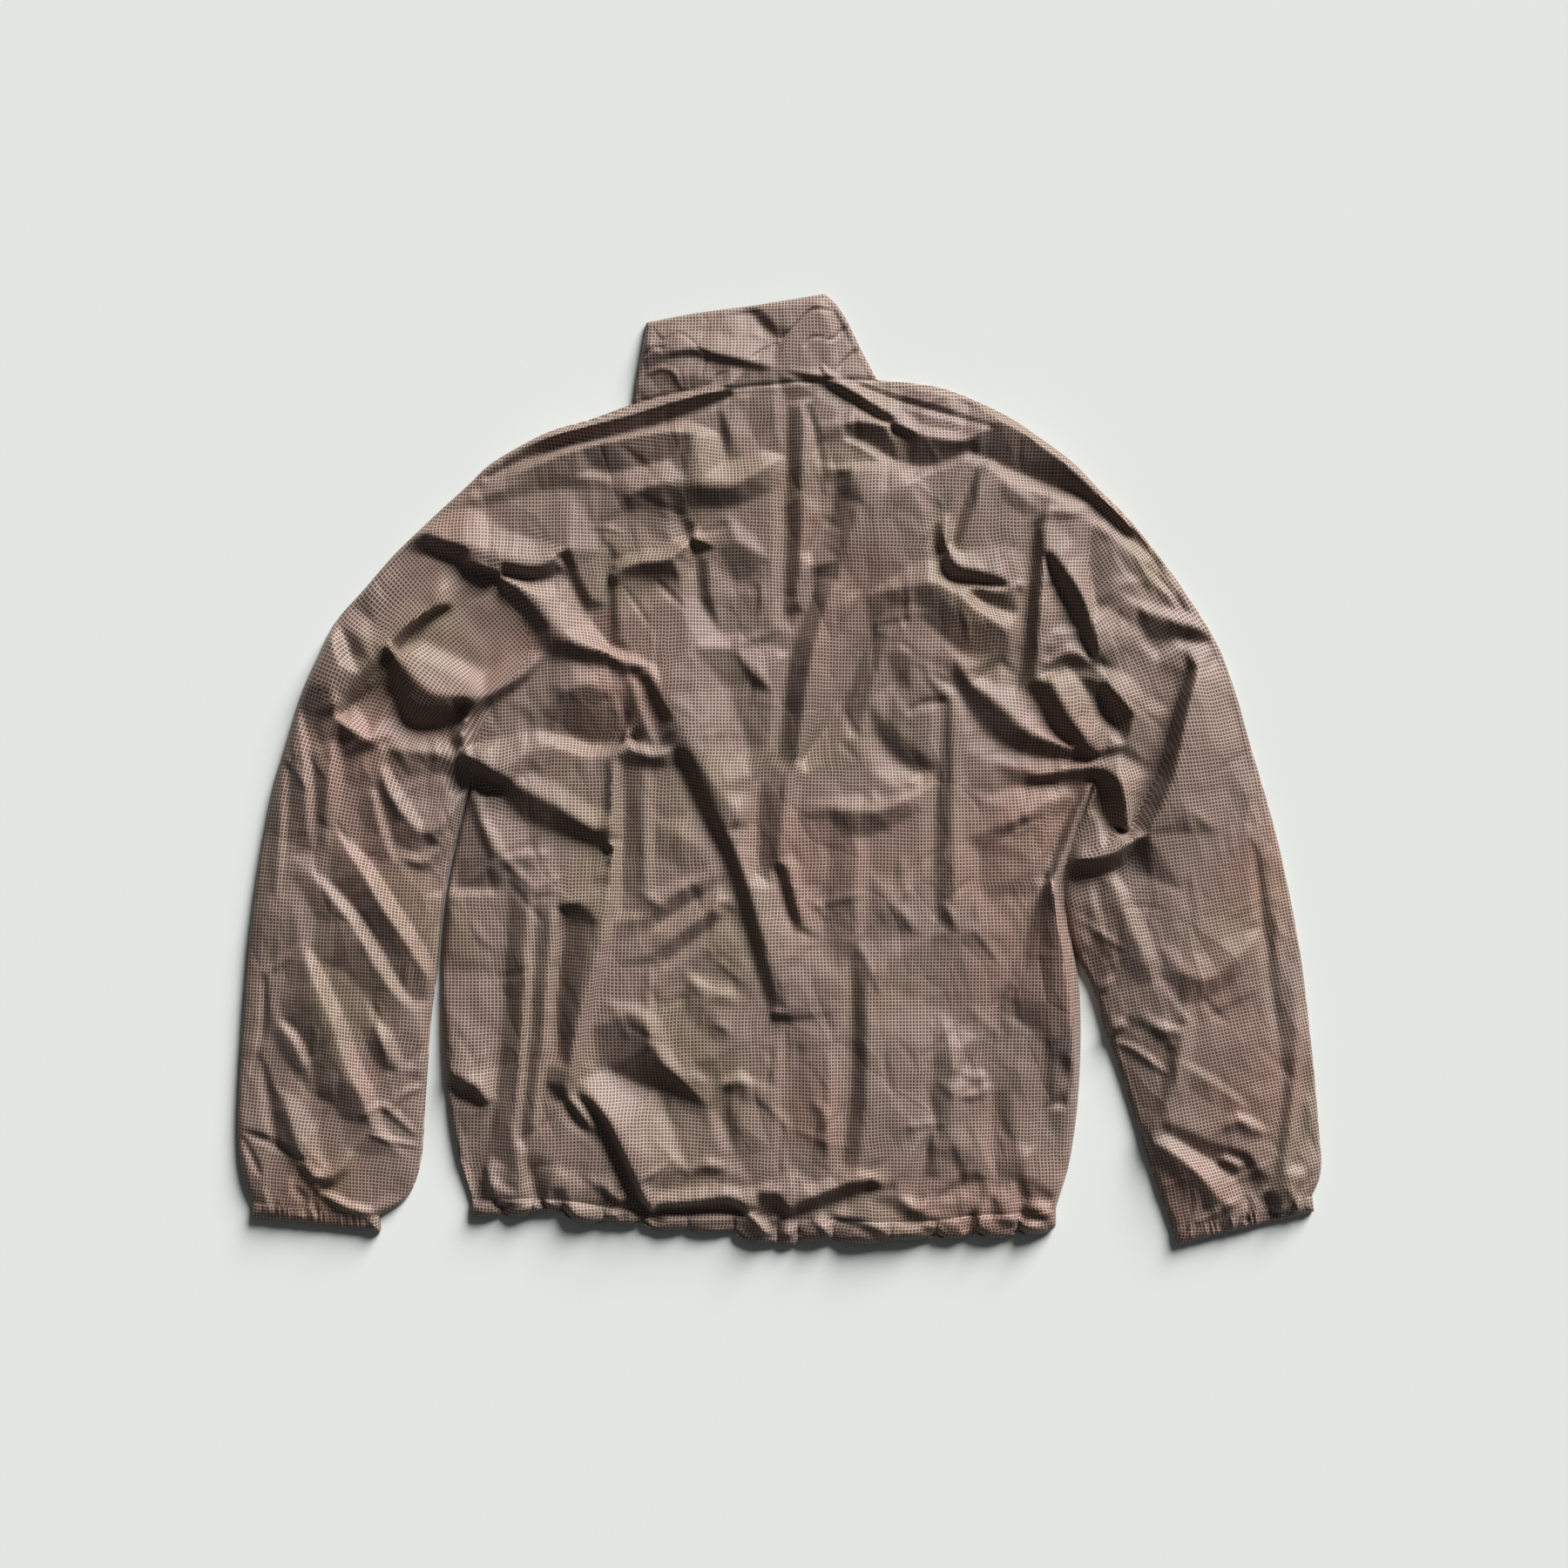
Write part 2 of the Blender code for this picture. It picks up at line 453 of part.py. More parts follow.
def ring(name, top_plan, top, bottom_plan, bottom, made_of, collection, split=False):
    """A flattened ring of cloth, open at its first and last row.

    `split` leaves a gap in the middle of the lower side, for the zip.
    """
    mesh_data = bmesh.new()
    layers = []
    for inset in (0, WALL):
        grid = []
        for plan_row, heights, low_row, low_heights in zip(top_plan, top, bottom_plan, bottom):
            above = np.c_[plan_row, heights - inset]
            below = np.c_[low_row, low_heights + inset]
            sides = []
            for end in (0, -1):
                height = (above[end, 2] + below[end, 2]) / 2
                sides.append(np.r_[plan_row[end] + inward(plan_row, end) * inset, height])
                for points, row in ((above, plan_row), (below, low_row)):
                    points[end, :2] += inward(row, end) * (EDGE_TUCK + inset)
            left, right = sides
            below = below[::-1]
            if split:
                half = len(below) // 2
                order = [below[half:], [left], above, [right], below[:half]]
            else:
                order = [above, [right], below, [left]]
            grid.append([mesh_data.verts.new(point) for point in np.vstack(order)])
        layers.append(grid)
    for grid in layers:
        skin(mesh_data, grid, close_columns=not split)
    if split:
        rims = []
        for grid in layers:
            right = [row[-1] for row in grid[1:-1]]
            left = [row[0] for row in grid[-2:0:-1]]
            rims.append(grid[0] + right + grid[-1][::-1] + left)
        skin(mesh_data, rims, close_columns=True)
    else:
        for end in (0, -1):
            skin(mesh_data, [layers[0][end], layers[1][end]], close_columns=True)
    return finish_mesh(name, mesh_data, made_of, collection)


def material(name, colour, roughness, metallic=0.0):
    made = bpy.data.materials.new(name)
    made.use_nodes = True
    shader = made.node_tree.nodes["Principled BSDF"]
    shader.inputs["Base Color"].default_value = (*colour, 1)
    shader.inputs["Roughness"].default_value = roughness
    shader.inputs["Metallic"].default_value = metallic
    return made


def side_edge(side, armhole, shoulder, lower=False):
    """A body side from hem to neck, divided so that the sleeve's points fall on it."""
    parts = [divide(side, ROWS_SIDE), divide(armhole, ROWS_ARMHOLE), divide(shoulder, ROWS_SHOULDER)]
    if lower:
        parts = [part[: len(part) - 1 : LOWER_STEP] for part in parts[:2]] + [divide(shoulder, 4)]
        return to_frame(np.vstack(parts))
    return to_frame(np.vstack([parts[0][:-1], parts[1][:-1], parts[2]]))


def zip_side(offset, top, bottom, count):
    """Points `offset` mm to the right of the zip's middle, between two heights of the plan."""
    path = spline(ZIP_LINE)
    down = np.linspace(top, bottom, count + 1)
    line = to_frame(np.stack([np.interp(down, path[:, 1], path[:, 0]), down], 1))
    along = np.gradient(line, axis=0)
    along /= np.linalg.norm(along, axis=1)[:, None]
    return line + offset * MM * np.stack([-along[:, 1], along[:, 0]], 1)


def lower_height(plan):
    """Inner surface of the lower layer, whose wall is the same everywhere."""
    return zip_lift(plan.reshape(-1, 2)).reshape(plan.shape[:2]) + WALL


def build_back(cloth, collection):
    left = side_edge(LEFT_SIDE, LEFT_ARMHOLE, LEFT_SHOULDER)
    right = side_edge(RIGHT_SIDE, RIGHT_ARMHOLE, RIGHT_SHOULDER)
    lower = to_frame(divide(HEM_SEAM, BACK_COLUMNS))
    upper = to_frame(divide(NECK, BACK_COLUMNS))
    plan = patch(lower, upper, left, right)
    return panel("back", plan, top_height(plan), WALL, cloth, collection)


def half_patch(sign, top, bottom, outer, columns):
    """A grid from a body edge, hem first, to the zip; straight at its top and bottom."""
    inner = zip_side(sign * PANEL_EDGE, top, bottom, len(outer) - 1)[::-1]
    lower = np.linspace(outer[0], inner[0], columns + 1)
    upper = np.linspace(outer[-1], inner[-1], columns + 1)
    return patch(lower, upper, outer, inner)


def build_fronts(cloth, collection):
    sides = (
        ("front_left", -1, LEFT_SIDE, LEFT_ARMHOLE, LEFT_SHOULDER),
        ("front_right", 1, RIGHT_SIDE, RIGHT_ARMHOLE, RIGHT_SHOULDER),
    )
    for name, sign, side, armhole, shoulder in sides:
        outer = side_edge(side, armhole, shoulder, lower=True)
        plan = half_patch(sign, FRONT_NECK, FRONT_HEM_SEAM, outer, FRONT_COLUMNS)
        panel(name, plan, lower_height(plan), WALL, cloth, collection)


def away_from(points, side, distance):
    """The points moved `distance` across their line, to the side of the point `side`."""
    along = np.gradient(points, axis=0)
    across = np.stack([-along[:, 1], along[:, 0]], 1)
    across /= np.linalg.norm(across, axis=1)[:, None]
    middle = points[len(points) // 2]
    if across[len(points) // 2] @ (side - middle) < 0:
        across = -across
    return points + across * distance


def build_sleeves(cloth, collection):
    sleeves = (
        ("sleeve_left", LEFT_ARMHOLE, LEFT_OUTER, LEFT_INNER, LEFT_CUFF_TOP),
        ("sleeve_right", RIGHT_ARMHOLE, RIGHT_OUTER, RIGHT_INNER, RIGHT_CUFF_TOP),
    )
    for name, armhole, outer, inner, cuff in sleeves:
        seam = to_frame(divide(armhole, ROWS_ARMHOLE))[::-1]
        seam = away_from(seam, to_frame([cuff[0]])[0], SEAM_GAP)
        outside = to_frame(divide(outer, SLEEVE_ROWS))[::-1]
        inside = to_frame(divide(inner, SLEEVE_ROWS))[::-1]
        outside[-1], inside[-1] = seam[0], seam[-1]
        lower = np.linspace(outside[0], inside[0], ROWS_ARMHOLE + 1)
        plan = relax(patch(lower, seam, outside, inside))
        under = plan[:, ::LOWER_STEP]
        ring(name, plan, top_height(plan), under, np.zeros(under.shape[:2]), cloth, collection)


def build_cuffs(cloth, collection):
    cuffs = (("cuff_left", LEFT_CUFF_TOP, LEFT_CUFF_END), ("cuff_right", RIGHT_CUFF_TOP, RIGHT_CUFF_END))
    for name, top, end in cuffs:
        upper, lower = to_frame(top), to_frame(end)
        upper = upper + (lower - upper) * SEAM_GAP / np.linalg.norm(lower - upper, axis=1)[:, None]
        plans = []
        for columns in (GATHERS_PER_CUFF * 3, 6):
            rows = [np.linspace(*(upper + (lower - upper) * share), columns + 1) for share in (0, 0.5, 1)]
            plans.append(np.array(rows))
        turns = np.linspace(0, GATHERS_PER_CUFF, plans[0].shape[1])
        fade = np.sin(pi * turns / GATHERS_PER_CUFF) ** 0.5
        gathers = CUFF_GATHER * MM * (1 - np.cos(2 * pi * turns)) / 2 * fade
        top_surface = top_height(plans[0]) + gathers[None] * np.array([0.4, 1, 0.7])[:, None]
        ring(name, plans[0], top_surface, plans[1], np.zeros(plans[1].shape[:2]), cloth, collection)


def build_collar(cloth, collection):
    lower = away_from(to_frame(divide(NECK, COLLAR_COLUMNS)), to_frame([COLLAR_TOP[2]])[0], SEAM_GAP)
    upper = to_frame(divide(COLLAR_TOP, COLLAR_COLUMNS))
    left = to_frame(divide(COLLAR_LEFT, COLLAR_ROWS))
    right = to_frame(divide(COLLAR_RIGHT, COLLAR_ROWS))
    left[0], right[0] = lower[0], lower[-1]
    plan = patch(lower, upper, left, right)
    halves = [
        half_patch(sign, FRONT_COLLAR_TOP, FRONT_NECK - SEAM_GAP / SQUARE, edge, 4)
        for sign, edge in ((-1, left), (1, right))
    ]
    under = np.concatenate([halves[0], halves[1][:, ::-1]], axis=1)
    heights = zip_lift(under.reshape(-1, 2)).reshape(under.shape[:2])
    ring("collar", plan, top_height(plan), under, heights, cloth, collection, split=True)


def build_hem_band(cloth, collection):
    edge = hem_edge(HEM_COLUMNS_PER_PUFF)
    seam = divide(HEM_SEAM, 200)
    top = np.stack([edge[:, 0], np.interp(edge[:, 0], seam[:, 0], seam[:, 1]) + SEAM_GAP / SQUARE], 1)
    shares = np.linspace(1, 0, HEM_ROWS + 1)
    plan = np.array([to_frame(top + (edge - top) * share) for share in shares])
    puff = np.arange(len(edge)) / HEM_COLUMNS_PER_PUFF
    rises = np.array([item.rise for item in PUFFS] + [PUFFS[-1].rise]) * MM
    swell = rises[puff.astype(int)] * np.sin(pi * (puff % 1))
    heights = top_height(plan) + swell[None] * np.sin(pi * shares)[:, None]
    halves = []
    for sign, corner in ((-1, edge[0]), (1, edge[-1])):
        start = top[0] if sign < 0 else top[-1]
        outer = to_frame(np.linspace((corner[0], start[1] + 10), start, HEM_ROWS + 1))
        halves.append(half_patch(sign, FRONT_HEM_SEAM + SEAM_GAP / SQUARE, FRONT_HEM_END, outer, 4))
    under = np.concatenate([halves[0], halves[1][:, ::-1]], axis=1)
    ring("hem_band", plan, heights, under, np.zeros(under.shape[:2]), cloth, collection, split=True)


def zip_strip(name, inner, outer, low, high, span, made_of, collection):
    """A flat strip along the zip, between two distances from its middle line."""
    edges = [zip_side(offset, *span, ZIP_STEPS) for offset in (inner, outer)]
    plan = np.stack(edges, axis=1)
    lift = zip_lift(zip_side(0, *span, ZIP_STEPS))[:, None] + np.zeros((1, 2))
    return panel(name, plan, lift + high * MM, (high - low) * MM, made_of, collection)


def block(name, centre, size, made_of, collection):
    """A box by its centre and size, in metres and mm."""
    mesh_data = bmesh.new()
    bmesh.ops.create_cube(mesh_data, size=1.0)
    bmesh.ops.scale(mesh_data, vec=[side * MM for side in size], verts=mesh_data.verts)
    piece = finish_mesh(name, mesh_data, made_of, collection)
    piece.location = centre
    return piece


def unite(base, others):
    for other in others:
        other.hide_render = True
        other.display_type = "WIRE"
        joined = base.modifiers.new(f"with_{other.name}", "BOOLEAN")
        joined.operation = "UNION"
        joined.object = other


def bar_along(name, points, radius, made_of, collection):
    """A round bar through the points, as a mesh."""
    curve = bpy.data.curves.new(name, "CURVE")
    curve.dimensions = "3D"
    curve.bevel_depth = radius * MM
    curve.bevel_resolution = 2
    curve.use_fill_caps = True
    spline_data = curve.splines.new("POLY")
    spline_data.points.add(len(points) - 1)
    for slot, point in zip(spline_data.points, points):
        slot.co = (*point, 1)
    source = bpy.data.objects.new(name + "_curve", curve)
    collection.objects.link(source)
    bpy.context.view_layer.update()
    mesh = bpy.data.meshes.new_from_object(source.evaluated_get(bpy.context.evaluated_depsgraph_get()))
    bpy.data.objects.remove(source)
    welded = bmesh.new()
    welded.from_mesh(mesh)
    bmesh.ops.remove_doubles(welded, verts=welded.verts, dist=0.01 * MM)
    return finish_mesh(name, welded, made_of, collection)


def build_slider(metal, collection, helpers):
    """Two plates round the chain, joined by a post, with a bridge under them for the tab."""
    middle = zip_side(0, SLIDER_AT - 1, SLIDER_AT + 1, 2)[1]
    face = ZIP_LIFT - 0.2
    low, high = (ZIP_LIFT + gap for gap in SLIDER_GAP)
    size = (SLIDER_WIDTH, SLIDER_LENGTH, PLATE)

    def at(x, y, z):
        return (middle[0] + x * MM, middle[1] + y * MM, z * MM)

    slider = block("zip_slider", at(0, 0, low - PLATE / 2), size, metal, collection)
    parts = [block("slider_upper_plate", at(0, 0, high + PLATE / 2), size, metal, helpers)]
    post = (2.4, POST_LENGTH, high - low + PLATE)
    parts.append(
        block("slider_post", at(0, (SLIDER_LENGTH - POST_LENGTH) / 2, (low + high) / 2), post, metal, helpers)
    )
    rail = (PLATE, SLIDER_LENGTH, FLANGE + PLATE)
    for side in (-1, 1):
        x = side * (SLIDER_WIDTH - PLATE) / 2
        parts.append(block("slider_low_rail", at(x, 0, low + (FLANGE - PLATE) / 2), rail, metal, helpers))
        parts.append(block("slider_high_rail", at(x, 0, high - (FLANGE - PLATE) / 2), rail, metal, helpers))
    axis_height = face - TAB_AXIS_DROP
    turns = [pi * step / 10 for step in range(11)]
    arc = [at(0, BRIDGE_RADIUS * cos(turn), axis_height - BRIDGE_RADIUS * sin(turn)) for turn in turns]
    ends = [at(0, side * BRIDGE_RADIUS, face + PLATE / 2) for side in (1, -1)]
    parts.append(bar_along("slider_bridge", [ends[0], *arc, ends[1]], BRIDGE_BAR, metal, helpers))
    unite(slider, parts)
    return at(0, 0, axis_height)


def build_pull_tab(metal, axis, collection, helpers):
    """A plate with a window at its upper end, closed by the pin that turns in the bridge."""
    width, length, thick = TAB_SIZE
    window, window_length = TAB_WINDOW
    corner = 1.5
    outline = [(-width / 2, 0), (-width / 2, corner - length), (corner - width / 2, -length)]
    outline += [(-x, y) for x, y in reversed(outline)]
    inside = [(window / 2, 0), (window / 2, -window_length), (-window / 2, -window_length), (-window / 2, 0)]
    curve = bpy.data.curves.new("zip_pull_tab", "CURVE")
    curve.dimensions = "2D"
    curve.fill_mode = "BOTH"
    curve.extrude = thick / 2 * MM
    edge = curve.splines.new("POLY")
    points = outline + inside
    edge.points.add(len(points) - 1)
    for slot, (x, y) in zip(edge.points, points):
        slot.co = (x * MM, y * MM, 0, 1)
    edge.use_cyclic_u = True
    source = bpy.data.objects.new("zip_pull_tab_curve", curve)
    collection.objects.link(source)
    bpy.context.view_layer.update()
    mesh = bpy.data.meshes.new_from_object(source.evaluated_get(bpy.context.evaluated_depsgraph_get()))
    bpy.data.objects.remove(source)
    welded = bmesh.new()
    welded.from_mesh(mesh)
    bmesh.ops.remove_doubles(welded, verts=welded.verts, dist=0.01 * MM)
    tab = finish_mesh("zip_pull_tab", welded, metal, collection)
    pin = bar_along("tab_pin", [(-width / 2 * MM, 0, 0), (width / 2 * MM, 0, 0)], TAB_PIN, metal, helpers)
    drop = axis[2] / MM - thick / 2 - TAB_CLEAR
    for piece in (tab, pin):
        piece.location = axis
        piece.rotation_euler[0] = np.arcsin(drop / length)
    unite(tab, [pin])


def build_zip(tape_cloth, coil, metal, collection, helpers):
    slider_half = SLIDER_LENGTH / 2 * MM / SQUARE
    box_length = BOX_SIZE[1] * MM / SQUARE
    gap = SEAM_GAP / SQUARE
    box_top = FRONT_HEM_END + 4 - box_length
    tape_span = (FRONT_COLLAR_TOP + 1, box_top - gap)
    for name, sign in (("zip_tape_left", -1), ("zip_tape_right", 1)):
        zip_strip(
            name, sign * TAPE_INNER, sign * TAPE_OUTER, TAPE_LOW, TAPE_HIGH, tape_span, tape_cloth, collection
        )
    chain_top = SLIDER_AT - slider_half + POST_LENGTH * MM / SQUARE + gap
    chain_span = (chain_top, box_top - gap)
    zip_strip(
        "zip_chain", -CHAIN_HALF, CHAIN_HALF, CHAIN_LOW, CHAIN_HIGH, chain_span, coil, collection
    )
    box_at = zip_side(0, box_top + box_length / 2 - 1, box_top + box_length / 2 + 1, 2)[1]
    block("zip_bottom_box", (*box_at, (CHAIN_LOW + BOX_SIZE[2] / 2 - 0.5) * MM), BOX_SIZE, metal, collection)
    stop_down = SLIDER_AT - slider_half - STOP_SIZE[1] * MM / SQUARE
    stop_at = zip_side(0, stop_down - 1, stop_down + 1, 2)[1]
    for name, side in (("zip_top_stop_left", -1), ("zip_top_stop_right", 1)):
        centre = (stop_at[0] + side * 1.35 * MM, stop_at[1], (ZIP_LIFT + 2) * MM)
        block(name, centre, STOP_SIZE, metal, collection)
    axis = build_slider(metal, collection, helpers)
    build_pull_tab(metal, axis, collection, helpers)


def new_collection(name):
    made = bpy.data.collections.new(name)
    bpy.context.scene.collection.children.link(made)
    return made


def main():
    for item in list(bpy.data.objects):
        bpy.data.objects.remove(item)
    jacket = new_collection("windbreaker_jacket")
    helpers = new_collection("joined_shapes")
    cloth = material("checked_cloth", (0.30, 0.23, 0.19), 0.6)
    tape_cloth = material("zip_tape", (0.10, 0.07, 0.06), 0.8)
    coil = material("zip_coil", (0.08, 0.06, 0.05), 0.4)
    metal = material("zip_metal", (0.25, 0.21, 0.18), 0.35, 1.0)
    build_back(cloth, jacket)
    build_fronts(cloth, jacket)
    build_sleeves(cloth, jacket)
    build_cuffs(cloth, jacket)
    build_collar(cloth, jacket)
    build_hem_band(cloth, jacket)
    build_zip(tape_cloth, coil, metal, jacket, helpers)


main()
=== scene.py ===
# %% [markdown]
# # A checked windbreaker, laid flat on its front
#
# The jacket lies on a table with its back up, and we look straight down at it. Light
# nylon holds every fold that it was dropped in, so almost all of what we see is a height
# map: one sheet of cloth whose ridges and hollows catch or miss the light. We work out
# that height from a lay plan and a table of folds, cover it with a fine woven check, and
# then sew on what is small: gathers, stitches and the zip underneath.

# %% Load the frame
from collections import namedtuple
from math import cos, pi, radians, sin

import bpy
import numpy as np
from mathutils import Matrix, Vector
from mathutils.geometry import delaunay_2d_cdt


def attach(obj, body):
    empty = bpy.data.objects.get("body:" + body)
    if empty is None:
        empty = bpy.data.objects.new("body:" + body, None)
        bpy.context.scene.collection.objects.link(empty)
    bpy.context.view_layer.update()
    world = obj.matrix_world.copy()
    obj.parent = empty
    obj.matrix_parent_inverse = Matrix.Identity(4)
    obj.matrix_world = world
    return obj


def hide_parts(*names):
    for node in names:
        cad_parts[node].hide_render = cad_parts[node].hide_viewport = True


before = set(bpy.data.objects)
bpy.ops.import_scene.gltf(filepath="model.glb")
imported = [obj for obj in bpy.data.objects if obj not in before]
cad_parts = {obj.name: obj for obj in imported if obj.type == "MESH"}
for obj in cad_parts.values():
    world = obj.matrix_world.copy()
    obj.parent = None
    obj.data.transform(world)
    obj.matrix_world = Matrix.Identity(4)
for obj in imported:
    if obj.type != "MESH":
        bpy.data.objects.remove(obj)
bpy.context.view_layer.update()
MM = 0.001
print("nodes:", ", ".join(sorted(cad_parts)))

# %% [markdown]
# ## The lay plan
#
# A tailor would pin the jacket out and draw round it. The plan below is that drawing, in
# squares counted to the right and down from its top left corner. One size sets the scale,
# the width of the body from side fold to side fold. Each edge is a short row of points
# with a smooth curve through them, because cloth turns corners softly.

# %% Outline of the lay
CHEST_WIDTH = 528 * MM  # across the laid body
CHEST_SQUARES = 733  # the same width on the plan
SQUARE = CHEST_WIDTH / CHEST_SQUARES
PLAN_CENTRE = (894.65, 883.05)  # the square over the frame's origin

NECK = ((727, 464), (780, 453), (840, 448), (915, 441), (950, 438), (1007, 437))
HEM_SEAM = (
    (541, 1376), (600, 1374), (650, 1376), (700, 1384), (745, 1389), (800, 1390), (860, 1391),
    (905, 1397), (950, 1398), (1000, 1400), (1060, 1400), (1120, 1393), (1170, 1391), (1212, 1386),
)
LEFT_SIDE = (
    (541, 1376), (524, 1318), (511, 1230), (507, 1130), (511, 1050), (521, 985), (532, 940), (541, 903),
)
LEFT_ARMHOLE = (
    (541, 903), (545, 868), (555, 836), (573, 803), (597, 773), (610, 740), (596, 704), (560, 671),
    (513, 644), (468, 622),
)
LEFT_SHOULDER = (
    (468, 622), (504, 588), (540, 555), (562, 534), (600, 511), (636, 494), (675, 483), (727, 464),
)
RIGHT_SIDE = (
    (1212, 1386), (1228, 1330), (1238, 1250), (1240, 1160), (1234, 1100), (1225, 1050), (1224, 1000),
    (1238, 950), (1253, 905),
)
RIGHT_ARMHOLE = (
    (1253, 905), (1263, 874), (1273, 846), (1276, 818), (1268, 782), (1257, 738), (1250, 670),
    (1251, 612), (1262, 563),
)
RIGHT_SHOULDER = (
    (1262, 563), (1232, 532), (1192, 502), (1150, 475), (1090, 449), (1050, 441), (1007, 437),
)
LEFT_OUTER = (
    (468, 622), (450, 640), (418, 677), (385, 715), (362, 760), (345, 800), (325, 865), (310, 920),
    (290, 1040), (278, 1180), (273, 1290), (278, 1345), (291, 1379),
)
LEFT_INNER = (
    (539, 906), (530, 945), (518, 988), (508, 1050), (503, 1110), (496, 1165), (489, 1260),
    (484, 1330), (468, 1374), (437, 1395),
)
RIGHT_OUTER = (
    (1262, 563), (1290, 590), (1325, 632), (1360, 680), (1397, 740), (1418, 795), (1432, 845),
    (1465, 960), (1490, 1080), (1505, 1200), (1514, 1300), (1516, 1345), (1506, 1372),
)
RIGHT_INNER = (
    (1254, 907), (1235, 950), (1221, 1000), (1222, 1050), (1234, 1094), (1253, 1130), (1268, 1180),
    (1287, 1232), (1320, 1335), (1346, 1409),
)
COLLAR_TOP = ((742, 371), (800, 360), (860, 352), (905, 345), (947, 338))
COLLAR_LEFT = ((727, 464), (731, 432), (736, 405), (742, 371))
COLLAR_RIGHT = ((1007, 437), (990, 405), (973, 370), (960, 350), (947, 338))
LEFT_CUFF_TOP = ((291, 1379), (437, 1395))
LEFT_CUFF_END = ((290, 1397), (438, 1413))
RIGHT_CUFF_TOP = ((1506, 1372), (1346, 1409))
RIGHT_CUFF_END = ((1508, 1390), (1352, 1428))
ZIP_LINE = (
    (864, 408), (864, 440), (864, 505), (867, 700), (874, 1000), (878, 1200), (880, 1419),
)
FRONT_COLLAR_TOP, FRONT_NECK, FRONT_HEM_SEAM, FRONT_HEM_END = 408, 505, 1389, 1400
SLIDER_AT = 426

# The hem band hangs in puffs between its gathers: where each ends, how far it hangs below
# the hem seam at its middle and at its ends, and how high it stands, in mm.
Puff = namedtuple("Puff", "end hang notch rise")
PUFFS = (
    Puff(577, 20, 17, 5), Puff(612, 22, 18, 5), Puff(646, 15, 12, 7), Puff(694, 24, 18, 8),
    Puff(737, 18, 12, 7), Puff(790, 22, 20, 6), Puff(843, 24, 21, 5), Puff(893, 33, 30, 8),
    Puff(916, 31, 26, 7), Puff(956, 27, 23, 8), Puff(1022, 27, 24, 9), Puff(1074, 22, 17, 7),
    Puff(1120, 25, 20, 8), Puff(1168, 28, 20, 9), Puff(1212, 27, 20, 8),
)

# %% Curves and grids
def to_frame(points):
    """Plan squares to metres in the jacket's frame."""
    points = np.asarray(points, float)
    return np.stack([points[:, 0] - PLAN_CENTRE[0], PLAN_CENTRE[1] - points[:, 1]], 1) * SQUARE


def spline(points, per_span=8):
    """A smooth curve through the points, with `per_span` steps between each two."""
    points = np.asarray(points, float)
    if len(points) < 3:
        return np.linspace(points[0], points[-1], per_span + 1)
    ends = np.vstack([2 * points[0] - points[1], points, 2 * points[-1] - points[-2]])
    t = np.linspace(0, 1, per_span, endpoint=False)[:, None]
    spans = []
    for a, b, c, d in zip(ends, ends[1:], ends[2:], ends[3:]):
        bend = (2 * a - 5 * b + 4 * c - d) * t**2 + (3 * b - a - 3 * c + d) * t**3
        spans.append(b + 0.5 * ((c - a) * t + bend))
    return np.vstack(spans + [points[-1:]])


def divide(points, count):
    """`count` + 1 points at even distances along the smooth curve through the points."""
    path = spline(points)
    length = np.r_[0, np.cumsum(np.linalg.norm(np.diff(path, axis=0), axis=1))]
    at = np.linspace(0, length[-1], count + 1)
    return np.stack([np.interp(at, length, path[:, axis]) for axis in (0, 1)], 1)


def patch(lower, upper, left, right):
    """A grid between four edges: rows follow left and right, columns lower and upper."""
    u = np.linspace(0, 1, len(lower))[None, :, None]
    v = np.linspace(0, 1, len(left))[:, None, None]
    across = (1 - v) * lower[None] + v * upper[None]
    along = (1 - u) * left[:, None] + u * right[:, None]
    corners = (1 - v) * ((1 - u) * lower[0] + u * lower[-1]) + v * ((1 - u) * upper[0] + u * upper[-1])
    return across + along - corners


def relax(grid, rounds=400):
    """The grid with its inner points moved until its cells are as even as its edges allow."""
    grid = grid.copy()
    for _ in range(rounds):
        down = (grid[2:, 1:-1] - grid[:-2, 1:-1]) / 2
        across = (grid[1:-1, 2:] - grid[1:-1, :-2]) / 2
        twist = (grid[2:, 2:] - grid[2:, :-2] - grid[:-2, 2:] + grid[:-2, :-2]) / 4
        long, wide, skew = (
            (one * other).sum(-1, keepdims=True)
            for one, other in ((down, down), (across, across), (down, across))
        )
        beside = grid[1:-1, 2:] + grid[1:-1, :-2]
        ahead = grid[2:, 1:-1] + grid[:-2, 1:-1]
        grid[1:-1, 1:-1] = (long * beside + wide * ahead - 2 * skew * twist) / (2 * (long + wide))
    return grid


def refine(grid, rows, columns):
    """The grid with smooth extra rows and columns between its own."""
    down = spline(grid.reshape(len(grid), -1), rows).reshape(-1, grid.shape[1], 2)
    turned = down.transpose(1, 0, 2)
    across = spline(turned.reshape(len(turned), -1), columns).reshape(-1, len(down), 2)
    return across.transpose(1, 0, 2)


print("body width in plan:", round(CHEST_SQUARES * SQUARE, 3), "m")

# %% [markdown]
# ## Folds
#
# A fold in crisp nylon is a flat face between two sharp creases. Seen from above, a face
# that falls towards the lamp is bright and one that climbs towards it is dark. One long
# face, along the left shoulder, is given as such: its path on the plan, its width, how far
# it climbs to the left of its path, and how far the cloth takes to fall away below and
# above it. All other folds are given by their creases, because that is how they meet and
# cross: large creases carry the lay and small ones ride on them.

# %% Large folds
Fold = namedtuple("Fold", "path width rise low high start end")
LARGE_FOLDS = (
    Fold(((535, 556), (600, 515), (650, 503), (745, 472), (836, 449)), 6, 3, 14, 6, 0.3, 0.9),
)
print(len(LARGE_FOLDS), "large folds")

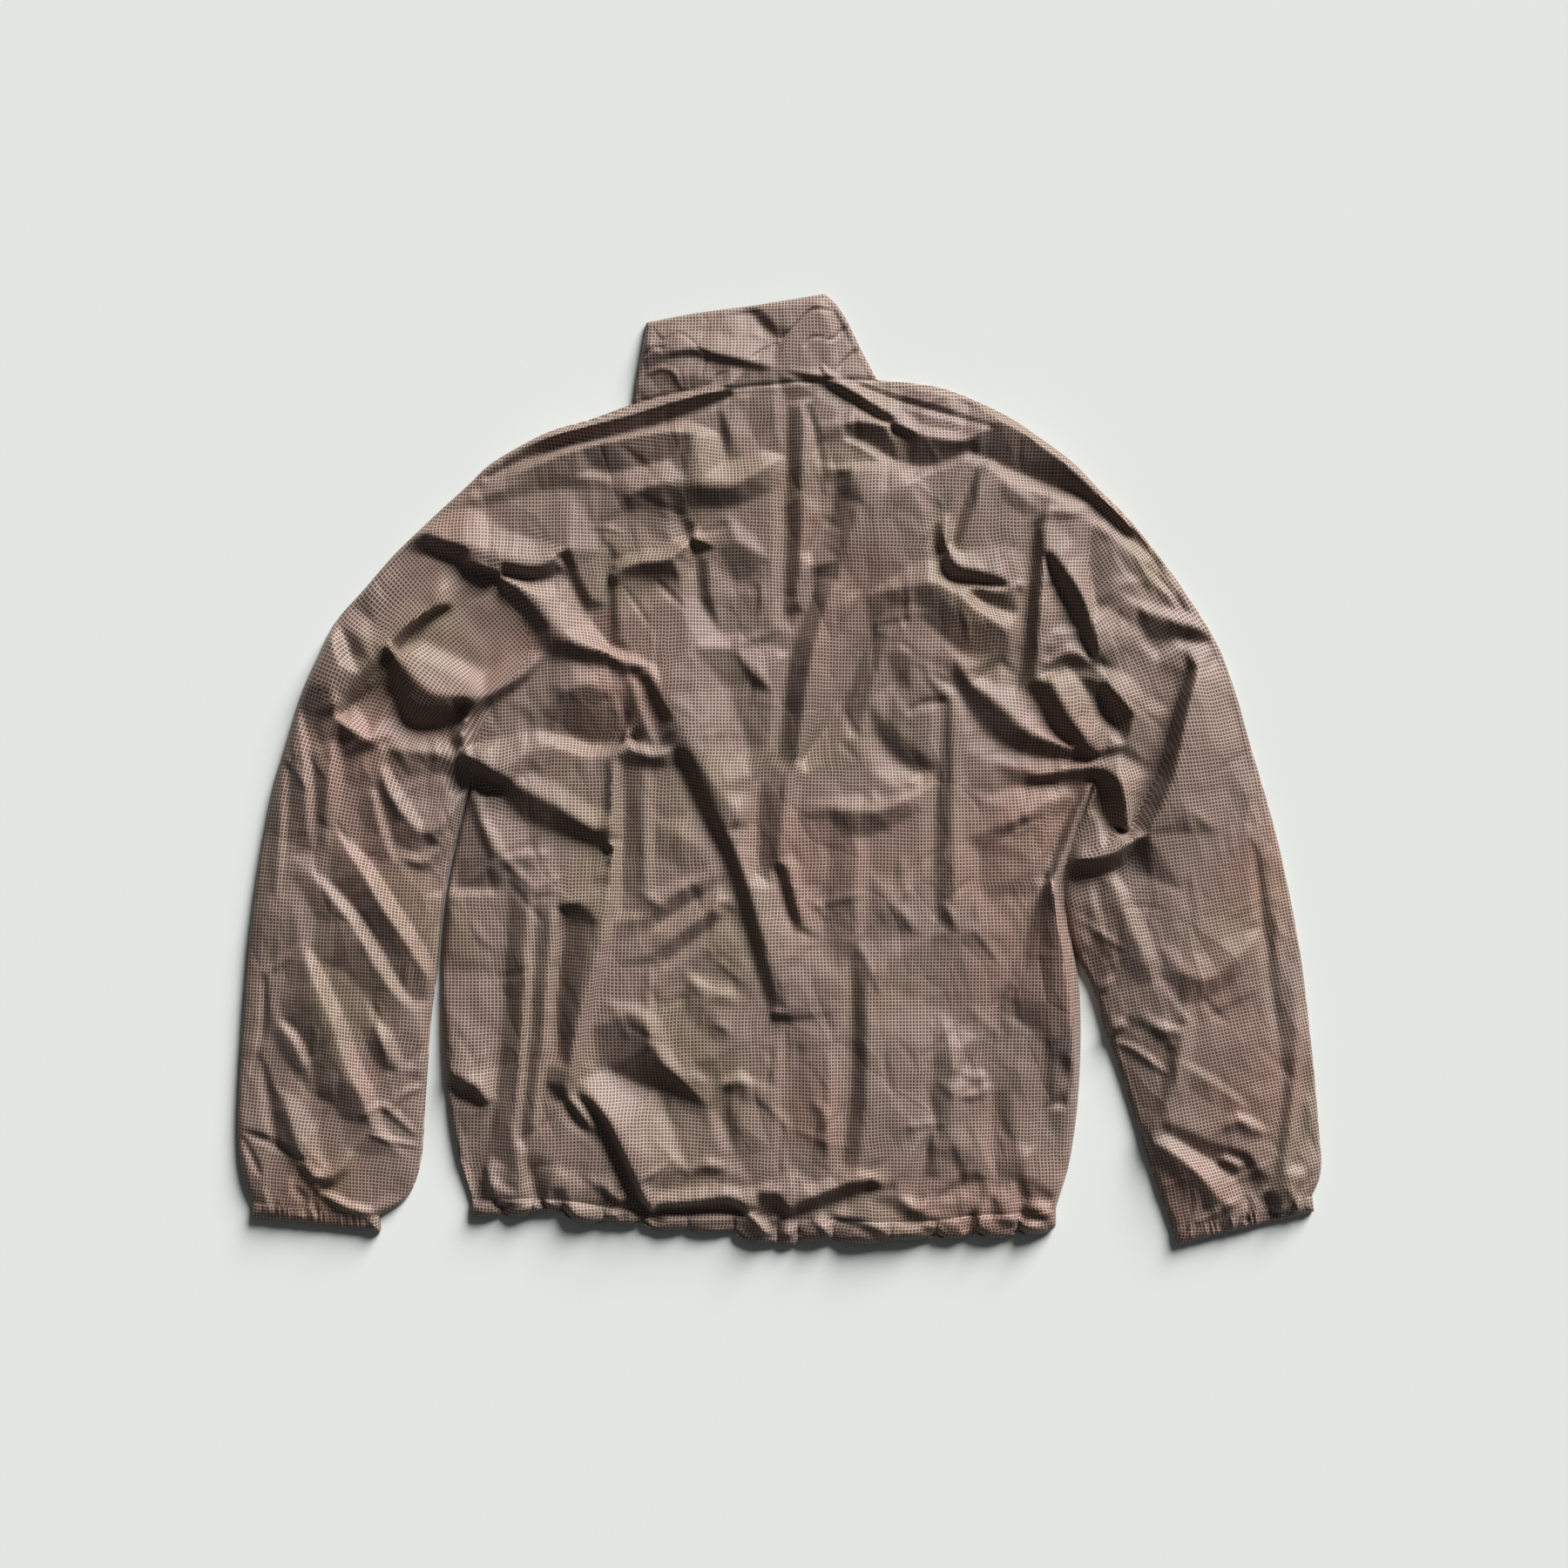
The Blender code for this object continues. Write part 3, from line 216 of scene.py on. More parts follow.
# %% Creases
# A crease is a ridge (height over 0) or a valley (under 0), in mm along its path. Its two
# flanks fall away over `right` and `left` squares, and `start` and `end` are the shares of
# its size left at its ends.
Crease = namedtuple("Crease", "path height right left start end")
UPPER_LEFT_CREASES = (
    Crease(((545, 548), (600, 513), (650, 497), (700, 486), (750, 472), (800, 458), (838, 449)),
           7, 15, 10, 0.5, 0.5),
    Crease(((560, 550), (610, 526), (660, 511), (705, 503), (750, 490), (800, 472), (842, 455)),
           -3, 9, 14, 0.5, 0.5),
    Crease(((590, 548), (650, 522), (700, 508), (760, 498), (806, 502)), 7, 34, 12, 0.4, 0.6),
    Crease(((545, 575), (600, 556), (640, 547), (700, 555)), 3, 16, 16, 0.3, 0.3),
    Crease(((716, 576), (745, 561), (790, 556), (830, 560), (850, 556), (884, 536)), 7.5, 26, 28, 0.3, 0.5),
    Crease(((778, 592), (790, 615), (799, 645), (803, 686)), -4.5, 20, 14, 0.4, 0.9),
    Crease(((703, 662), (730, 649), (765, 645), (785, 632), (794, 620)), 5.5, 14, 14, 0.3, 0.6),
    Crease(((702, 636), (700, 690), (704, 744)), -3.2, 16, 9, 0.5, 1.0),
    Crease(((648, 640), (662, 680), (680, 712), (700, 745)), -4, 16, 12, 0.4, 0.9),
    Crease(((535, 650), (580, 664), (610, 684), (632, 712), (657, 737), (700, 748)), 8, 20, 30, 0.4, 0.7),
    Crease(((475, 607), (505, 619), (540, 630), (580, 645), (620, 651), (655, 632)), 8, 15, 34, 0.6, 0.5),
    Crease(((492, 636), (535, 650), (580, 663), (625, 666), (650, 655)), -3, 12, 14, 0.6, 0.6),
    Crease(((455, 750), (478, 778), (505, 798), (548, 802)), 14, 30, 60, 0.6, 0.6),
    Crease(((455, 800), (466, 828), (490, 836), (530, 828), (538, 812)), -6, 24, 10, 0.4, 0.6),
    Crease(((428, 786), (450, 757), (475, 728), (500, 706), (526, 693)), -5, 16, 10, 0.6, 0.3),
    Crease(((536, 858), (534, 832), (547, 811), (590, 784), (612, 767), (626, 749)), 6, 9, 28, 0.6, 0.2),
    Crease(((540, 866), (560, 878), (582, 893)), 9, 0, 34, 0.9, 0.8),
    Crease(((543, 903), (560, 907), (572, 906)), -8, 8, 0, 0.8, 0.8),
    Crease(((618, 838), (655, 846), (690, 856), (724, 848)), -7, 16, 36, 0.3, 0.6),
    Crease(((640, 800), (675, 786), (705, 800)), 4, 20, 30, 0.2, 0.2),
    Crease(((744, 766), (765, 805), (790, 850), (815, 895), (848, 936)), 8, 14, 52, 0.6, 0.8),
    Crease(((706, 755), (730, 765), (754, 769)), 4.5, 12, 12, 0.9, 0.4),
    Crease(((722, 775), (738, 820), (754, 860)), 3, 10, 8, 0.5, 0.5),
    Crease(((712, 798), (722, 830), (733, 858)), -3.5, 8, 8, 0.4, 0.6),
    Crease(((716, 850), (735, 862), (752, 868), (774, 858)), 6, 17, 8, 0.4, 0.6),
    Crease(((705, 868), (704, 930), (704, 1000), (703, 1060)), 5, 8, 14, 0.6, 0.3),
    Crease(((925, 470), (935, 500), (942, 545), (942, 592)), -2.6, 8, 9, 0.5, 0.3),
)

UPPER_RIGHT_CREASES = (
    Crease(((948, 437), (985, 456), (1020, 478), (1054, 497)), 3.5, 0, 14, 0.7, 0.4),
    Crease(((944, 443), (980, 463), (1012, 485), (1042, 501)), -2.5, 18, 0, 0.7, 0.4),
    Crease(((975, 440), (1030, 461), (1090, 478), (1136, 492)), -2.8, 8, 7, 0.5, 0.5),
    Crease(((966, 489), (990, 486), (1015, 489), (1045, 497), (1070, 504), (1100, 508), (1114, 505)),
           4.5, 0, 10, 0.5, 0.7),
    Crease(((972, 502), (995, 510), (1015, 523), (1035, 533), (1065, 537), (1090, 529), (1110, 519)),
           -4, 8, 0, 0.5, 0.6),
    Crease(((958, 541), (1000, 541), (1036, 545)), 3, 0, 8, 0.5, 0.6),
    Crease(((1038, 560), (1010, 572), (990, 586), (979, 612), (964, 645)), 7, 0, 70, 0.7, 0.6),
    Crease(((960, 556), (955, 590), (945, 612), (926, 634)), -4, 14, 0, 0.4, 0.7),
    Crease(((962, 668), (948, 695), (937, 735), (928, 780), (921, 830), (917, 875)), 6, 0, 44, 0.6, 0.5),
    Crease(((934, 666), (929, 692), (915, 730), (904, 770), (899, 820), (893, 868)), -4, 12, 0, 0.6, 0.7),
    Crease(((922, 470), (921, 560), (920, 640), (914, 690)), 3, 0, 12, 0.6, 0.5),
    Crease(((903, 465), (903, 560), (902, 640), (899, 725)), -3.5, 16, 0, 0.7, 0.7),
    Crease(((1146, 484), (1175, 497), (1215, 522), (1250, 553), (1285, 588), (1302, 606)),
           6.5, 0, 8, 0.9, 0.5),
    Crease(((1118, 519), (1136, 530), (1160, 540), (1200, 556), (1240, 570), (1262, 586), (1290, 613),
            (1328, 642)), -6, 14, 0, 0.6, 0.5),
    Crease(((1136, 536), (1122, 575), (1104, 622), (1098, 636)), 3.5, 0, 18, 0.6, 0.6),
    Crease(((1120, 536), (1108, 570), (1092, 618), (1084, 634)), -3, 12, 0, 0.6, 0.6),
    Crease(((1152, 558), (1168, 570), (1188, 585)), 2.8, 16, 12, 0.4, 0.5),
    Crease(((1082, 604), (1086, 632), (1096, 651), (1122, 658), (1150, 667)), 6, 0, 50, 0.4, 0.5),
    Crease(((1071, 600), (1075, 632), (1086, 662), (1110, 669), (1150, 673)), -3, 12, 0, 0.4, 0.5),
    Crease(((1108, 675), (1128, 677), (1150, 679), (1170, 672)), 3, 0, 5, 0.5, 0.7),
    Crease(((1118, 686), (1135, 695), (1152, 702), (1168, 704)), -3, 12, 0, 0.4, 0.6),
    Crease(((1046, 674), (1075, 671), (1100, 688), (1128, 708), (1157, 724)), 8, 50, 30, 0.5, 0.4),
    Crease(((1117, 783), (1135, 770), (1154, 756)), -3.2, 22, 12, 0.6, 0.4),
    Crease(((1094, 757), (1117, 785), (1152, 816), (1175, 838), (1205, 850), (1250, 864)),
           4, 0, 16, 0.5, 0.7),
    Crease(((1092, 778), (1110, 812), (1136, 845), (1170, 862), (1210, 870), (1248, 873)),
           -4, 24, 0, 0.4, 0.8),
    Crease(((1198, 604), (1196, 650), (1191, 705), (1189, 750), (1187, 780)), 4, 0, 16, 0.5, 0.6),
    Crease(((1186, 606), (1184, 650), (1179, 705), (1174, 750), (1168, 786)), -6, 34, 0, 0.5, 0.9),
    Crease(((1184, 600), (1205, 589), (1238, 592)), 2.9, 10, 10, 0.5, 0.3),
    Crease(((1201, 630), (1220, 655), (1239, 684), (1250, 715), (1257, 750)), 6, 0, 44, 0.5, 0.8),
    Crease(((1197, 642), (1210, 668), (1224, 692), (1236, 722), (1249, 752)), -5, 36, 0, 0.3, 0.8),
    Crease(((1250, 602), (1249, 650), (1256, 700)), -3.2, 20, 26, 0.5, 0.3),
    Crease(((1208, 729), (1225, 726), (1240, 722)), 2.9, 14, 8, 0.3, 0.7),
    Crease(((1206, 760), (1222, 749), (1240, 752), (1252, 762)), 2.6, 0, 8, 0.6, 0.4),
    Crease(((1203, 774), (1216, 764), (1232, 766), (1246, 769)), -2.6, 12, 0, 0.6, 0.4),
    Crease(((1203, 779), (1218, 812), (1238, 842), (1256, 862)), 7, 0, 44, 0.6, 0.6),
    Crease(((1174, 788), (1190, 804), (1203, 830), (1222, 852), (1244, 866)), -4, 16, 0, 0.5, 0.6),
    Crease(((1228, 768), (1246, 792), (1262, 826)), -2.9, 10, 14, 0.5, 0.5),
    Crease(((1264, 782), (1281, 800), (1300, 820)), 6, 0, 26, 0.6, 0.6),
    Crease(((1260, 798), (1269, 822), (1284, 840)), -6, 10, 0, 0.6, 0.6),
    Crease(((1262, 862), (1276, 857), (1290, 854)), 3.2, 10, 14, 0.6, 0.6),
    Crease(((1270, 884), (1284, 900), (1291, 925), (1293, 950)), 8, 0, 24, 0.5, 0.8),
    Crease(((1254, 896), (1262, 915), (1264, 930), (1272, 946)), -6, 10, 0, 0.7, 0.7),
    Crease(((1372, 768), (1362, 800), (1352, 845), (1344, 885), (1330, 925), (1314, 956)),
           12, 0, 60, 0.3, 0.5),
    Crease(((1364, 770), (1352, 800), (1341, 842), (1328, 885), (1311, 922), (1294, 956)),
           -8, 50, 0, 0.3, 1.0),
    Crease(((1232, 986), (1256, 984), (1280, 974), (1300, 960)), 9, 0, 22, 0.8, 0.8),
    Crease(((1240, 1000), (1262, 1004), (1284, 996), (1300, 978)), -4, 40, 0, 0.7, 0.6),
    Crease(((1182, 890), (1205, 888), (1225, 882), (1246, 880)), 3, 0, 9, 0.3, 0.9),
    Crease(((1128, 918), (1150, 906), (1190, 899), (1244, 899)), -4, 40, 0, 0.2, 0.9),
    Crease(((1140, 950), (1170, 938), (1195, 922)), 3.2, 20, 18, 0.3, 0.5),
    Crease(((1250, 906), (1234, 940), (1223, 972), (1208, 1006)), 5, 0, 8, 0.7, 0.8),
    Crease(((1240, 906), (1224, 938), (1213, 970), (1200, 1006)), -5, 16, 0, 0.7, 0.9),
    Crease(((1302, 698), (1322, 707), (1352, 716), (1393, 727)), 4, 0, 14, 0.5, 0.6),
    Crease(((1305, 714), (1316, 735), (1328, 748), (1346, 732), (1372, 737), (1392, 736)),
           -3.5, 14, 0, 0.4, 0.5),
    Crease(((1300, 612), (1318, 624), (1338, 634)), -2.9, 8, 8, 0.5, 0.5),
    Crease(((1302, 640), (1318, 665), (1334, 680), (1352, 708)), 2.5, 8, 8, 0.5, 0.5),
    Crease(((1310, 648), (1335, 672), (1362, 704)), -2, 6, 6, 0.5, 0.5),
    Crease(((1258, 690), (1280, 676), (1302, 668)), 2.9, 16, 14, 0.3, 0.4),
    Crease(((1005, 722), (990, 747), (975, 785), (957, 825), (920, 872)), -8, 50, 26, 0.5, 0.6),
    Crease(((1010, 716), (1040, 707), (1060, 706)), 2.9, 30, 12, 0.4, 0.3),
    Crease(((1063, 772), (1076, 790), (1086, 802)), 2.5, 8, 10, 0.5, 0.5),
    Crease(((1045, 815), (1060, 808), (1080, 805)), -2.5, 10, 8, 0.5, 0.5),
    Crease(((1093, 800), (1092, 870), (1092, 930), (1093, 1000), (1095, 1062)), 2.4, 0, 14, 0.4, 0.5),
    Crease(((1080, 810), (1078, 870), (1074, 930), (1072, 1000), (1073, 1062)), -2.2, 16, 0, 0.4, 0.4),
)

LEFT_SLEEVE_CREASES = (
    Crease(((380, 720), (388, 745), (394, 768), (387, 788), (391, 822)), 9, 48, 14, 0.6, 0.8),
    Crease(((400, 800), (418, 772), (440, 750), (470, 722), (500, 702), (522, 695)), 7, 16, 30, 0.5, 0.3),
    Crease(((392, 822), (412, 805), (435, 788), (452, 786)), -7, 34, 26, 0.5, 0.5),
    Crease(((390, 822), (408, 838), (428, 850)), 8, 34, 14, 0.6, 0.8),
    Crease(((436, 858), (470, 862), (505, 864), (524, 870)), 4, 26, 16, 0.6, 0.5),
    Crease(((440, 880), (452, 912), (470, 938), (486, 956)), 5, 30, 12, 0.5, 0.6),
    Crease(((486, 956), (505, 950), (522, 930), (528, 915)), 5, 14, 18, 0.6, 0.6),
    Crease(((470, 985), (487, 990), (505, 975), (520, 955)), 3, 12, 12, 0.4, 0.5),
    Crease(((398, 968), (420, 1000), (444, 1040), (470, 1080), (494, 1120)), 7, 34, 14, 0.3, 0.6),
    Crease(((362, 1004), (385, 1030), (405, 1055), (425, 1085), (450, 1130), (475, 1160)),
           6, 34, 12, 0.3, 0.3),
    Crease(((430, 905), (440, 950), (452, 985)), 3.5, 22, 8, 0.4, 0.3),
    Crease(((330, 880), (327, 930), (325, 980), (320, 1030)), 3, 16, 5, 0.4, 0.4),
    Crease(((345, 820), (355, 900), (358, 960)), 5, 26, 8, 0.3, 0.3),
    Crease(((385, 850), (383, 900), (378, 950)), 6, 28, 12, 0.5, 0.3),
    Crease(((307, 1116), (328, 1101), (350, 1084)), 2, 8, 6, 0.5, 0.5),
    Crease(((306, 1125), (305, 1155), (302, 1190), (292, 1230)), -3, 7, 8, 0.4, 0.4),
    Crease(((322, 1172), (340, 1192), (355, 1225)), 4, 22, 9, 0.3, 0.3),
    Crease(((352, 1090), (368, 1130), (388, 1180), (402, 1222), (420, 1256), (432, 1290)),
           8, 40, 14, 0.3, 0.5),
    Crease(((430, 1170), (446, 1200), (460, 1228)), 4, 20, 12, 0.4, 0.3),
    Crease(((448, 1272), (465, 1254), (488, 1246)), 2.5, 8, 8, 0.4, 0.5),
    Crease(((420, 1278), (440, 1268), (455, 1278), (476, 1298)), 2.5, 8, 8, 0.4, 0.5),
    Crease(((430, 1300), (455, 1308), (478, 1314)), 2, 7, 6, 0.4, 0.6),
    Crease(((330, 1262), (340, 1292), (350, 1320), (362, 1345)), 5, 24, 24, 0.4, 0.8),
    Crease(((304, 1225), (310, 1258), (316, 1290), (322, 1314)), -3, 10, 10, 0.5, 0.6),
    Crease(((283, 1298), (302, 1305), (320, 1314), (350, 1328)), -3, 8, 8, 0.4, 0.8),
    Crease(((352, 1332), (364, 1347), (380, 1349), (396, 1336), (407, 1318)), 5, 12, 14, 0.8, 0.4),
    Crease(((280, 1305), (290, 1324), (300, 1346)), -2.5, 7, 7, 0.5, 0.5),
    Crease(((368, 1366), (385, 1374), (402, 1384), (434, 1391)), 3.5, 9, 8, 0.3, 0.7),
)
LOWER_LEFT_CREASES = (
    Crease(((582, 893), (605, 906), (640, 924), (670, 944), (704, 962)), 4, 0, 22, 0.9, 0.3),
    Crease(((572, 906), (600, 938), (630, 952), (665, 962), (702, 978)), -4.2, 56, 0, 0.7, 0.5),
    Crease(((580, 987), (600, 983), (626, 980)), 2.9, 16, 10, 0.3, 0.5),
    Crease(((650, 1038), (670, 1034), (688, 1026), (700, 1016)), 4, 0, 20, 0.6, 0.9),
    Crease(((701, 1022), (695, 1060), (684, 1100), (670, 1150), (660, 1200), (652, 1245)),
           9, 0, 16, 0.6, 0.5),
    Crease(((652, 1048), (646, 1085), (641, 1120), (640, 1165), (643, 1205)), -6, 14, 0, 0.6, 0.4),
    Crease(((700, 1060), (684, 1115), (668, 1170), (658, 1235)), 2.6, 7, 7, 0.4, 0.4),
    Crease(((654, 1256), (666, 1272), (680, 1290)), 3.2, 0, 10, 0.6, 0.5),
    Crease(((648, 1262), (660, 1280), (674, 1297)), -3, 12, 0, 0.6, 0.5),
    Crease(((683, 1260), (701, 1284), (715, 1312), (728, 1342), (739, 1368), (747, 1387)),
           8, 0, 90, 0.6, 0.8),
    Crease(((676, 1266), (693, 1292), (706, 1320), (719, 1348), (730, 1374), (737, 1389)),
           -3.5, 16, 0, 0.4, 0.9),
    Crease(((610, 1025), (606, 1120), (600, 1220), (590, 1310)), 3, 0, 0, 0.5, 0.5),
    Crease(((584, 1005), (582, 1100), (577, 1180), (570, 1250), (560, 1320), (553, 1372)),
           -5, 50, 0, 0.5, 0.7),
    Crease(((636, 1040), (632, 1120), (624, 1210), (614, 1300)), 3, 0, 6, 0.5, 0.5),
    Crease(((616, 1030), (612, 1120), (606, 1210), (597, 1305)), -2.2, 0, 0, 0.5, 0.5),
    Crease(((510, 1224), (530, 1233), (548, 1243), (561, 1262)), 5, 0, 50, 0.7, 0.4),
    Crease(((513, 1246), (528, 1256), (545, 1262), (557, 1272)), -3, 14, 0, 0.6, 0.4),
    Crease(((560, 1266), (550, 1300), (542, 1345), (540, 1385)), -4, 20, 10, 0.3, 0.7),
    Crease(((712, 1158), (740, 1168), (758, 1210), (780, 1235)), 4.5, 0, 16, 0.4, 0.6),
    Crease(((690, 1222), (715, 1236), (745, 1246), (774, 1244)), -8, 80, 0, 0.6, 0.6),
    Crease(((741, 880), (741, 960), (745, 1040)), 3, 0, 12, 0.4, 0.4),
    Crease(((716, 880), (715, 960), (713, 1040)), -3, 10, 0, 0.4, 0.4),
    Crease(((747, 1050), (775, 1024), (806, 1009)), 3, 0, 12, 0.4, 0.5),
    Crease(((751, 1065), (785, 1041), (812, 1024)), -3, 10, 0, 0.4, 0.5),
    Crease(((752, 1092), (790, 1062), (830, 1034)), 3, 0, 10, 0.3, 0.5),
    Crease(((760, 1110), (795, 1081), (830, 1053)), -3, 12, 0, 0.3, 0.5),
    Crease(((747, 1110), (747, 1160), (747, 1200)), 2.5, 10, 6, 0.4, 0.5),
    Crease(((795, 1126), (820, 1136), (845, 1148)), 2.9, 14, 16, 0.3, 0.4),
    Crease(((828, 1246), (845, 1238), (868, 1246)), 3.5, 34, 12, 0.4, 0.4),
    Crease(((797, 878), (826, 936), (850, 985), (866, 1040), (880, 1090), (892, 1135), (904, 1162)),
           5.5, 0, 50, 0.8, 0.5),
    Crease(((780, 876), (808, 938), (832, 985), (850, 1040), (865, 1092), (877, 1136), (889, 1168)),
           -2.8, 16, 0, 0.7, 0.5),
    Crease(((744, 1380), (790, 1376), (835, 1370), (862, 1383)), 5, 0, 14, 0.7, 0.8),
    Crease(((748, 1392), (800, 1391), (850, 1390)), -5, 5, 0, 0.7, 0.8),
    Crease(((545, 905), (555, 940), (563, 960), (572, 990)), 4, 9, 8, 0.5, 0.3),
    Crease(((568, 955), (580, 985), (610, 1015)), 2.9, 8, 8, 0.4, 0.3),
    Crease(((690, 1360), (702, 1374), (715, 1360)), -2, 6, 6, 0.4, 0.4),
    Crease(((640, 1333), (634, 1355), (627, 1378)), 3.2, 0, 10, 0.4, 0.9),
    Crease(((604, 1333), (612, 1355), (620, 1378)), -3.2, 10, 0, 0.4, 0.9),
)

LOWER_RIGHT_CREASES = (
    Crease(((918, 880), (905, 900), (898, 950), (893, 988)), 4, 0, 16, 0.5, 0.4),
    Crease(((884, 876), (871, 905), (869, 955), (868, 1000)), -4, 12, 0, 0.6, 0.4),
    Crease(((905, 998), (912, 1030), (921, 1062)), 3.5, 0, 14, 0.9, 0.3),
    Crease(((892, 997), (901, 1028), (912, 1066)), -3.5, 8, 0, 0.9, 0.3),
    Crease(((886, 1160), (898, 1163), (908, 1164)), 3.2, 9, 9, 0.6, 0.6),
    Crease(((904, 1170), (898, 1240), (896, 1300), (893, 1345)), -2.8, 8, 8, 0.6, 0.3),
    Crease(((832, 1250), (829, 1278), (844, 1322)), -3, 16, 14, 0.4, 0.3),
    Crease(((984, 960), (982, 1020), (980, 1078)), 3, 0, 14, 0.4, 0.6),
    Crease(((952, 965), (948, 1020), (946, 1078)), -2.5, 16, 0, 0.4, 0.6),
    Crease(((993, 1100), (994, 1180), (993, 1260), (985, 1338)), 4, 0, 60, 0.4, 0.6),
    Crease(((976, 1100), (979, 1180), (977, 1250), (966, 1332)), -2.4, 14, 0, 0.4, 0.8),
    Crease(((950, 1200), (952, 1260), (948, 1330)), 3, 0, 8, 0.6, 0.4),
    Crease(((906, 1212), (905, 1270), (903, 1330)), -2.4, 8, 0, 0.5, 0.4),
    Crease(((935, 1262), (947, 1280), (950, 1320)), 2.8, 12, 10, 0.4, 0.4),
    Crease(((1003, 838), (1022, 866), (1045, 882), (1070, 890)), -5, 28, 24, 0.5, 0.4),
    Crease(((1012, 908), (1030, 902), (1052, 893)), 2.9, 12, 12, 0.3, 0.3),
    Crease(((956, 928), (985, 931), (1012, 929), (1036, 919)), 5, 24, 20, 0.4, 0.7),
    Crease(((1084, 1038), (1092, 1050), (1095, 1064)), 2.5, 12, 6, 0.6, 0.3),
    Crease(((1096, 1205), (1092, 1250), (1088, 1295)), 1.8, 0, 16, 0.4, 0.4),
    Crease(((1071, 1200), (1070, 1250), (1068, 1298)), -1.8, 16, 0, 0.4, 0.4),
    Crease(((1205, 1014), (1213, 1060), (1222, 1110), (1229, 1170), (1230, 1240)), 10.5, 0, 7, 0.9, 0.5),
    Crease(((1200, 1010), (1182, 1060), (1164, 1105), (1143, 1150), (1121, 1195), (1101, 1232)),
           -4.5, 60, 0, 0.9, 0.8),
    Crease(((1216, 1212), (1226, 1240), (1240, 1262)), -2.9, 14, 12, 0.4, 0.5),
    Crease(((1098, 1226), (1112, 1234), (1128, 1233)), 2.8, 14, 8, 0.5, 0.4),
    Crease(((1106, 1256), (1120, 1254), (1130, 1246)), 2.8, 9, 7, 0.5, 0.5),
    Crease(((1141, 1250), (1138, 1300), (1142, 1360)), -3.5, 14, 26, 0.4, 0.5),
    Crease(((1062, 1300), (1060, 1335), (1045, 1372)), -3.5, 26, 14, 0.2, 0.6),
    Crease(((1056, 1304), (1032, 1340), (1000, 1376)), 3.5, 16, 24, 0.2, 0.5),
    Crease(((1045, 1388), (1070, 1372), (1095, 1352)), 2.9, 12, 12, 0.3, 0.4),
    Crease(((905, 1384), (930, 1371), (960, 1358), (998, 1349)), 5, 0, 10, 0.7, 0.6),
    Crease(((906, 1395), (935, 1388), (970, 1374), (998, 1362)), -5, 22, 0, 0.6, 0.6),
    Crease(((868, 1366), (890, 1364), (912, 1362)), 4, 0, 10, 0.5, 0.5),
    Crease(((866, 1388), (885, 1390), (900, 1388)), -4, 6, 0, 0.5, 0.5),
)
RIGHT_SLEEVE_CREASES = (
    Crease(((1275, 1012), (1290, 1050), (1310, 1096), (1322, 1125)), 4, 30, 16, 0.4, 0.3),
    Crease(((1250, 1024), (1258, 1055), (1270, 1092)), 2.9, 12, 14, 0.4, 0.3),
    Crease(((1258, 1138), (1268, 1130), (1276, 1122)), 2.5, 8, 8, 0.6, 0.3),
    Crease(((1268, 1184), (1280, 1178), (1288, 1164)), 4, 12, 9, 0.5, 0.3),
    Crease(((1282, 1196), (1300, 1203), (1320, 1218), (1336, 1230)), 2.5, 8, 8, 0.4, 0.3),
    Crease(((1318, 1172), (1335, 1182), (1352, 1176)), 3.5, 14, 12, 0.4, 0.4),
    Crease(((1360, 1150), (1353, 1200), (1345, 1245), (1330, 1280), (1316, 1302)), 4, 14, 16, 0.3, 0.7),
    Crease(((1338, 1095), (1360, 1118), (1385, 1122), (1408, 1105), (1436, 1080)), 4, 20, 30, 0.3, 0.3),
    Crease(((1352, 1218), (1385, 1240), (1425, 1268)), 2.5, 20, 10, 0.3, 0.3),
    Crease(((1400, 1292), (1418, 1282), (1432, 1290), (1450, 1298)), 3, 14, 10, 0.4, 0.3),
    Crease(((1404, 1322), (1424, 1330), (1434, 1348), (1440, 1375)), -4, 9, 12, 0.5, 0.6),
    Crease(((1322, 1308), (1350, 1325), (1380, 1352), (1405, 1385)), 5, 26, 26, 0.6, 0.4),
    Crease(((1340, 1300), (1375, 1322), (1410, 1345), (1435, 1375)), -4, 22, 18, 0.5, 0.4),
    Crease(((1438, 975), (1446, 1040), (1456, 1120), (1466, 1200)), -3, 12, 10, 0.3, 0.3),
    Crease(((1484, 1110), (1485, 1200), (1478, 1290), (1466, 1372)), 3.5, 12, 10, 0.3, 0.8),
    Crease(((1468, 1385), (1480, 1360), (1497, 1340)), 5, 12, 10, 0.8, 0.3),
    Crease(((1486, 1385), (1495, 1368), (1512, 1352)), 3, 8, 8, 0.8, 0.4),
    Crease(((1430, 1392), (1441, 1375), (1452, 1362)), 3.5, 8, 8, 0.8, 0.3),
    Crease(((1375, 1400), (1400, 1385), (1420, 1375)), 2.5, 8, 8, 0.7, 0.3),
    Crease(((1366, 1362), (1372, 1380), (1364, 1405)), 2, 6, 6, 0.2, 0.7),
)
